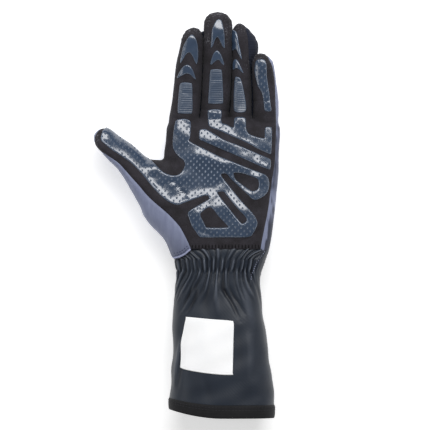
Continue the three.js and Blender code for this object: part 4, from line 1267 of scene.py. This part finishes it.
# Cuff hem
# The cuff's end is folded over a tape and closed with two rows of stitches, so it is a thick,
# dark, matt band with a rounded lower edge.
# Squares down of its two edges; in mm how far it stands proud of the cuff, its thickness, and the
# depth of the groove that its stitches draw
HEM_FROM = 155.5
HEM_TO = 168.9
HEM_PROUD = 0.75
HEM_WALL = 2.8
HEM_GROOVE = 0.22
HEM_SIDES = 28
hem_middle = (HEM_FROM + HEM_TO) / 2
hem_half = (HEM_TO - HEM_FROM) / 2
bulge = lambda v: np.sign(v) * np.abs(v) ** 0.45
hem_profile = [
    (hem_middle - hem_half * bulge(np.cos(t)), HEM_PROUD - HEM_WALL / 2 + HEM_WALL / 2 * bulge(np.sin(t))
     - HEM_GROOVE * np.exp(-((np.cos(t) + 0.55) / 0.12) ** 2) * (np.sin(t) > 0))
    for t in np.linspace(0, 2 * np.pi, HEM_SIDES, endpoint=False)
]
hem_points, hem_faces = sleeve(hem_profile, round_angles)

# Folded tape: black, matt and fibrous, so it ends the cuff in a darker line. Its threads, really
# about 0.4 mm apart, are drawn every 1 mm so that they show.
tape, out, where = new_material("folded_tape")
lines = node(tape, "ShaderNodeTexWave", {"Vector": where, "Scale": bands(1.0472), "Distortion": 0.5},
             wave_type="BANDS", bands_direction="Y")
bump = node(tape, "ShaderNodeBump", {
    "Height": lines.outputs["Fac"], "Strength": 0.3, "Distance": 0.00025,
})
fibre = node(tape, "ShaderNodeTexNoise", {"Vector": where, "Scale": 1000 / 5.0, "Detail": 3.0})
black_tape = node(tape, "ShaderNodeMix", {
    0: fibre.outputs["Fac"], 6: linear("#121214"), 7: linear("#1c1c1f"),
}, data_type="RGBA")
finish_material(tape, out, node(tape, "ShaderNodeBsdfPrincipled", {
    "Base Color": black_tape.outputs[2], "Roughness": 0.75, "Specular IOR Level": 0.25, "Sheen Weight": 0.04,
    "Normal": bump.outputs[0],
}))
make_piece("cuff_hem_tape", hem_points, hem_faces, tape, ["cuff_hem"], "hem_tape")


# Label
# A plain white woven label, heat-pressed and stitched on the cuff's front. It follows the cuff's
# curve and has rounded corners and a bowed left side.
# Outline as squares [across, down], and the grid that it is cut from
LABEL_CORNERS = [
    [-37.5, 68.7], [-36.5, 68], [-14, 69.8], [6.5, 71.4], [9.3, 73.2], [9.6, 80], [9.2, 98], [8.6, 122],
    [7.2, 125.3], [-14, 124.4], [-34, 122.6], [-43.3, 120.8], [-43.9, 119.5], [-43, 106], [-42.3, 92],
    [-40, 80], [-38.2, 72],
]
LABEL_STEPS = 122
LABEL_ACROSS = (-50, 16)
LABEL_DOWN = (62, 130)
# In mm: where its back and its edge lie over the cloth, its thickness, the width of its rounded
# edge, and the stitched groove's depth, place from the edge and half width
LABEL_BACK = 0.1
LABEL_LIFT = 0.35
LABEL_THICK = 0.45
LABEL_EDGE = 0.5
LABEL_GROOVE = 0.12
GROOVE_AT = 1.4
GROOVE_HALF = 0.3


def cuff_angle(across, down):
    """Angle round the cuff whose front lies at a place across: the inverse of the superellipse."""
    left, right, _ = read_rows(down, CUFF_ROWS)
    share = np.clip((across - (left + right) / 2) / ((right - left) / 2), -0.999, 0.999)
    return np.arccos(np.sign(share) * np.abs(share) ** (CUFF_POWER / 2))


def cuff_normal(angle, down):
    """Outward normal of the cuff from small steps round it and down it."""
    round_step = cuff_surface(angle + 0.004, down) - cuff_surface(angle - 0.004, down)
    down_step = cuff_surface(angle, down + 0.2) - cuff_surface(angle, down - 0.2)
    normal = unit(np.cross(round_step, down_step))
    return normal * np.sign(normal[..., 2:3] + 1e-9)


label_u, label_v = np.meshgrid(
    np.linspace(*LABEL_ACROSS, LABEL_STEPS), np.linspace(*LABEL_DOWN, LABEL_STEPS), indexing="ij",
)
label_angle = cuff_angle(label_u, label_v)
label_flat = cuff_surface(label_angle, label_v).reshape(-1, 3)
label_out = cuff_normal(label_angle, label_v).reshape(-1, 3)
label_faces = grid_faces(LABEL_STEPS, LABEL_STEPS, closed=False)
plan = np.stack([label_u.ravel(), -label_v.ravel()], 1)
label_loop = squares_of(smooth_loop([[across, -down] for across, down in LABEL_CORNERS]))
label_in = inside_loop(plan, label_loop) * SQUARE
label_cut, label_faces = clip(np.column_stack([label_flat, label_out, label_in]), label_faces, label_in)
label_edge = label_cut[:, 6]
label_rise = LABEL_LIFT + LABEL_THICK * np.sqrt(np.clip(label_edge / LABEL_EDGE, 0, 1))
label_rise -= LABEL_GROOVE * np.exp(-((label_edge - GROOVE_AT) / GROOVE_HALF) ** 2)
label_wall, label_wall_faces = thicken(label_cut[:, :3], label_faces, label_cut[:, 3:6], label_rise,
                                       np.full(len(label_cut), -LABEL_BACK))

# Woven label: clean white with a soft shine. Its threads, really about 0.2 mm apart, are drawn every
# 0.6 mm so that they show from near.
satin, out, where = new_material("woven_label")
threads = node(satin, "ShaderNodeTexWave", {"Vector": where, "Scale": bands(0.62832), "Distortion": 0.2},
               wave_type="BANDS", bands_direction="X")
bump = node(satin, "ShaderNodeBump", {
    "Height": threads.outputs["Fac"], "Strength": 0.12, "Distance": 0.0001,
})
shine = node(satin, "ShaderNodeTexNoise", {"Vector": where, "Scale": 1000 / 8.0, "Detail": 3.0})
white = node(satin, "ShaderNodeMix", {0: shine.outputs["Fac"], 6: linear("#f8f9fb"), 7: linear("#ffffff")},
             data_type="RGBA")
finish_material(satin, out, node(satin, "ShaderNodeBsdfPrincipled", {
    "Base Color": white.outputs[2], "Roughness": 0.5, "Specular IOR Level": 0.4, "Normal": bump.outputs[0],
}))
make_piece("label_blank", label_wall, label_wall_faces, satin, ["label_patch"], "label_cloth")


# Stitches and rolled hem
# Bonded polyester thread, drawn as separate short spindles half sunk in the cloth. The gusset's
# lower edge is turned up in a roll with two rows, and an overlock row closes the suede's edge.
# Rings of one stitch: place along its length, and share of its thickness
SPINDLE = [(-0.5, 0), (-0.36, 0.8), (0, 1), (0.36, 0.8), (0.5, 0)]
SPINDLE_SIDES = 6
# The gusset's rolled edge: radius in mm and sides
ROLL_RADIUS = 0.75
ROLL_SIDES = 10


def on_hand(plan, proud):
    """Points on the skin's front over places in the plan, proud of it in mm, and their normals: the
    nearest skin point's tangent plane gives the height."""
    front = np.flatnonzero((skin[:, 2] > FRONT_FROM) & (skin_normal[:, 2] > 0.2))
    apart = ((plan[:, None] - skin[front][:, :2]) ** 2).sum(-1)
    near = front[apart.argmin(1)]
    normal = skin_normal[near]
    drop = ((plan - skin[near][:, :2]) * normal[:, :2]).sum(1) / normal[:, 2]
    return np.column_stack([plan, skin[near][:, 2] - drop]) + proud * normal, normal


def spindles(points, normal, ways, length, thick):
    """Short stitches: the same closed six-sided spindle at every point, along its way."""
    ways = unit(ways)
    side = np.cross(normal, ways)
    turn = np.linspace(0, 2 * np.pi, SPINDLE_SIDES, endpoint=False)
    rings = [
        points[:, None] + length * along * ways[:, None]
        + thick * wide * (np.cos(turn)[:, None] * side[:, None] + np.sin(turn)[:, None] * normal[:, None])
        for along, wide in SPINDLE
    ]
    corners = np.stack(rings, 1).reshape(len(points), -1, 3)
    faces = grid_faces(len(SPINDLE), SPINDLE_SIDES)
    start = np.arange(len(points))[:, None, None] * corners.shape[1]
    return corners.reshape(-1, 3), (faces + start).reshape(-1, 3)


def spaced(line, pitch):
    """Points at an even pitch in mm along a run of straight pieces."""
    walk = np.append(0, np.cumsum(np.linalg.norm(np.diff(line, axis=0), axis=1)))
    at = np.arange(pitch / 2, walk[-1], pitch)
    return np.stack([np.interp(at, walk, line[:, k]) for k in range(line.shape[1])], 1)


def thread_finish(name, dark, light):
    """Bonded polyester thread: nearly matt, slightly uneven in shade. Its twist of 0.6 mm shows only
    as a fine grain."""
    material, output, where = new_material(name)
    twist = node(material, "ShaderNodeTexNoise", {"Vector": where, "Scale": 1000 / 0.6, "Detail": 3.0})
    dyed_thread = node(material, "ShaderNodeMix", {
        0: twist.outputs["Fac"], 6: linear(dark), 7: linear(light),
    }, data_type="RGBA")
    return finish_material(material, output, node(material, "ShaderNodeBsdfPrincipled", {
        "Base Color": dyed_thread.outputs[2], "Roughness": 0.75, "Specular IOR Level": 0.15,
    }))


def join(parts):
    """One mesh from several lists of points and faces."""
    starts = np.append(0, np.cumsum([len(points) for points, _ in parts[:-1]]))
    return (np.concatenate([points for points, _ in parts]),
            np.concatenate([faces + start for (_, faces), start in zip(parts, starts)]))


# Rows of stitches; each spindle's last two numbers are its length and half thickness in mm
black_thread = thread_finish("black_thread", "#0a0a0b", "#141416")
lavender_thread = thread_finish("lavender_thread", "#8a8fae", "#a5aac4")
blue_thread = thread_finish("slate_thread", "#343a52", "#454b66")
tick_across = np.arange(-31.5, 36, 3.3)
wrist_ticks, tick_normal = on_hand(
    place(np.stack([tick_across, np.full(len(tick_across), 2.8)], 1)), 0.45,
)
up_way = np.tile([0.0, 1, 0], (len(wrist_ticks), 1))
make_piece("wrist_overlock", *spindles(wrist_ticks, tick_normal, up_way, 3.0, 0.42), black_thread,
           (), "suede")

hem_edge = smooth_loop(GUSSET_HEM, 10, closed=False)
hem_ways = unit(np.gradient(hem_edge, axis=0))
hem_rows = []
for inward in (2.4, 4.4):
    row = spaced(hem_edge + inward * SQUARE * np.stack([hem_ways[:, 1], -hem_ways[:, 0]], 1), 2.2)
    spots, spot_normal = on_hand(row, 0.18)
    hem_rows.append(spindles(spots, spot_normal, np.gradient(spots, axis=0), 1.6, 0.24))
make_piece("gusset_stitches", *join(hem_rows), blue_thread, (), "woven")
roll_path, roll_normal = on_hand(hem_edge, 0.35)
roll_side = np.cross(roll_normal, unit(np.gradient(roll_path, axis=0)))
roll_turn = np.linspace(0, 2 * np.pi, ROLL_SIDES, endpoint=False)
roll_wide = ROLL_RADIUS * np.sqrt(np.clip(1 - np.linspace(-1, 1, len(roll_path)) ** 10, 0, 1))
roll = roll_path[:, None] + roll_wide[:, None, None] * (
    np.cos(roll_turn)[:, None] * roll_side[:, None] + np.sin(roll_turn)[:, None] * roll_normal[:, None])
# The roll is drawn in the paler lavender thread: an overlocked edge, and partly a painted highlight along the
# roll
make_piece("gusset_rolled_edge", roll.reshape(-1, 3), grid_faces(len(roll_path), ROLL_SIDES),
           lavender_thread, (), "woven")

seam_down = np.arange(0.6, 31, 2.1)
seam_angle = np.interp(seam_down, SIDE_SEAM_DOWN, SIDE_SEAM_ANGLE) + 0.012
seam_spots = cuff_surface(seam_angle, seam_down, 0.1)
make_piece("cuff_seam_stitches", *spindles(
    seam_spots, cuff_normal(seam_angle, seam_down), np.gradient(seam_spots, axis=0), 1.05, 0.26,
), lavender_thread, (), "cuff_cloth")
hem_lines = []
for down in (158.2, 160.6):
    ring = cuff_surface(round_angles, np.full(CUFF_ROUND, down), HEM_PROUD + 0.02)
    spots = spaced(np.vstack([ring, ring[:1]]), 2.6)
    spots = spots[spots[:, 2] > 1]
    away = spots - spots.mean(0)
    away[:, 1] = 0
    hem_lines.append(spindles(spots, unit(away), np.gradient(spots, axis=0), 1.9, 0.24))
make_piece("hem_stitches", *join(hem_lines), thread_finish("charcoal_thread", "#2a2a2e", "#38383d"),
           (), "hem_tape")


# Studio
# A white table and soft light from all sides. The camera looks straight down on the palm from
# far off, with the fingers up in the picture.
# The view: its side and its middle across and up in squares; the camera's height and the height
# at which sizes are true, in metres
PHOTO_SIDE = 430
PHOTO_ACROSS = -9
PHOTO_UP = 34
CAMERA_HEIGHT = 5.0
TRUE_SCALE_AT = 0.022
floor_mesh = bpy.data.meshes.new("table")
floor_mesh.from_pydata([(-3, -3, 0), (3, -3, 0), (3, 3, 0), (-3, 3, 0)], [], [(0, 1, 2, 3)])
# White paper: matt, and lit from below as well, so that it stays evenly white round the glove.
paper, out, where = new_material("white_paper")
finish_material(paper, out, node(paper, "ShaderNodeBsdfPrincipled", {
    "Base Color": linear("#f4f4f4"), "Roughness": 0.9, "Specular IOR Level": 0.1,
    "Emission Color": (1, 1, 1, 1), "Emission Strength": 0.45,
}))
floor_mesh.materials.append(paper)
floor = bpy.data.objects.new("table", floor_mesh)
floor.location.z = -0.0003
bpy.context.scene.collection.objects.link(floor)
floor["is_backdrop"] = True


def softbox(name, spot, wide, high, radiance):
    """Rectangular area light at a spot, turned to face the glove. Its power is radiance times pi
    times its area."""
    data = bpy.data.lights.new(name, "AREA")
    data.shape = "RECTANGLE"
    data.size = wide
    data.size_y = high
    data.energy = radiance * np.pi * wide * high
    lamp = bpy.data.objects.new(name, data)
    lamp.location = spot
    tilt = np.arctan2(np.hypot(spot[0], spot[1]), spot[2])
    lamp.rotation_euler = (tilt, 0, np.arctan2(spot[0], -spot[1]))
    bpy.context.scene.collection.objects.link(lamp)


softbox("finger_side_box", (0.2, 0.98, 1.14), 2.2, 0.68, 6.0)
softbox("left_box", (-1.4, -0.1, 1.0), 0.8, 0.8, 2.3)
softbox("right_box", (1.5, -0.1, 0.55), 0.8, 0.8, 0.7)
softbox("cuff_side_box", (0, -1.5, 1.0), 0.9, 0.7, 2.0)
world = bpy.data.worlds.new("studio")
world.use_nodes = True
world.node_tree.nodes["Background"].inputs[0].default_value = (1, 1, 1, 1)
world.node_tree.nodes["Background"].inputs[1].default_value = 0.14
bpy.context.scene.world = world
bpy.context.scene.view_settings.view_transform = "Standard"

camera_data = bpy.data.cameras.new("camera")
view_width = PHOTO_SIDE * SQUARE * MM
camera_data.sensor_width = 36
camera_data.lens = camera_data.sensor_width * (CAMERA_HEIGHT - TRUE_SCALE_AT) / view_width
camera_data.clip_end = 20
camera = bpy.data.objects.new("camera", camera_data)
centre_x, centre_y = place([PHOTO_ACROSS, PHOTO_UP]) * MM
camera.location = (centre_x, centre_y, CAMERA_HEIGHT)
bpy.context.scene.collection.objects.link(camera)
bpy.context.scene.camera = camera

{"cad": cad_box, "visual": [list(corner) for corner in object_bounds()]}
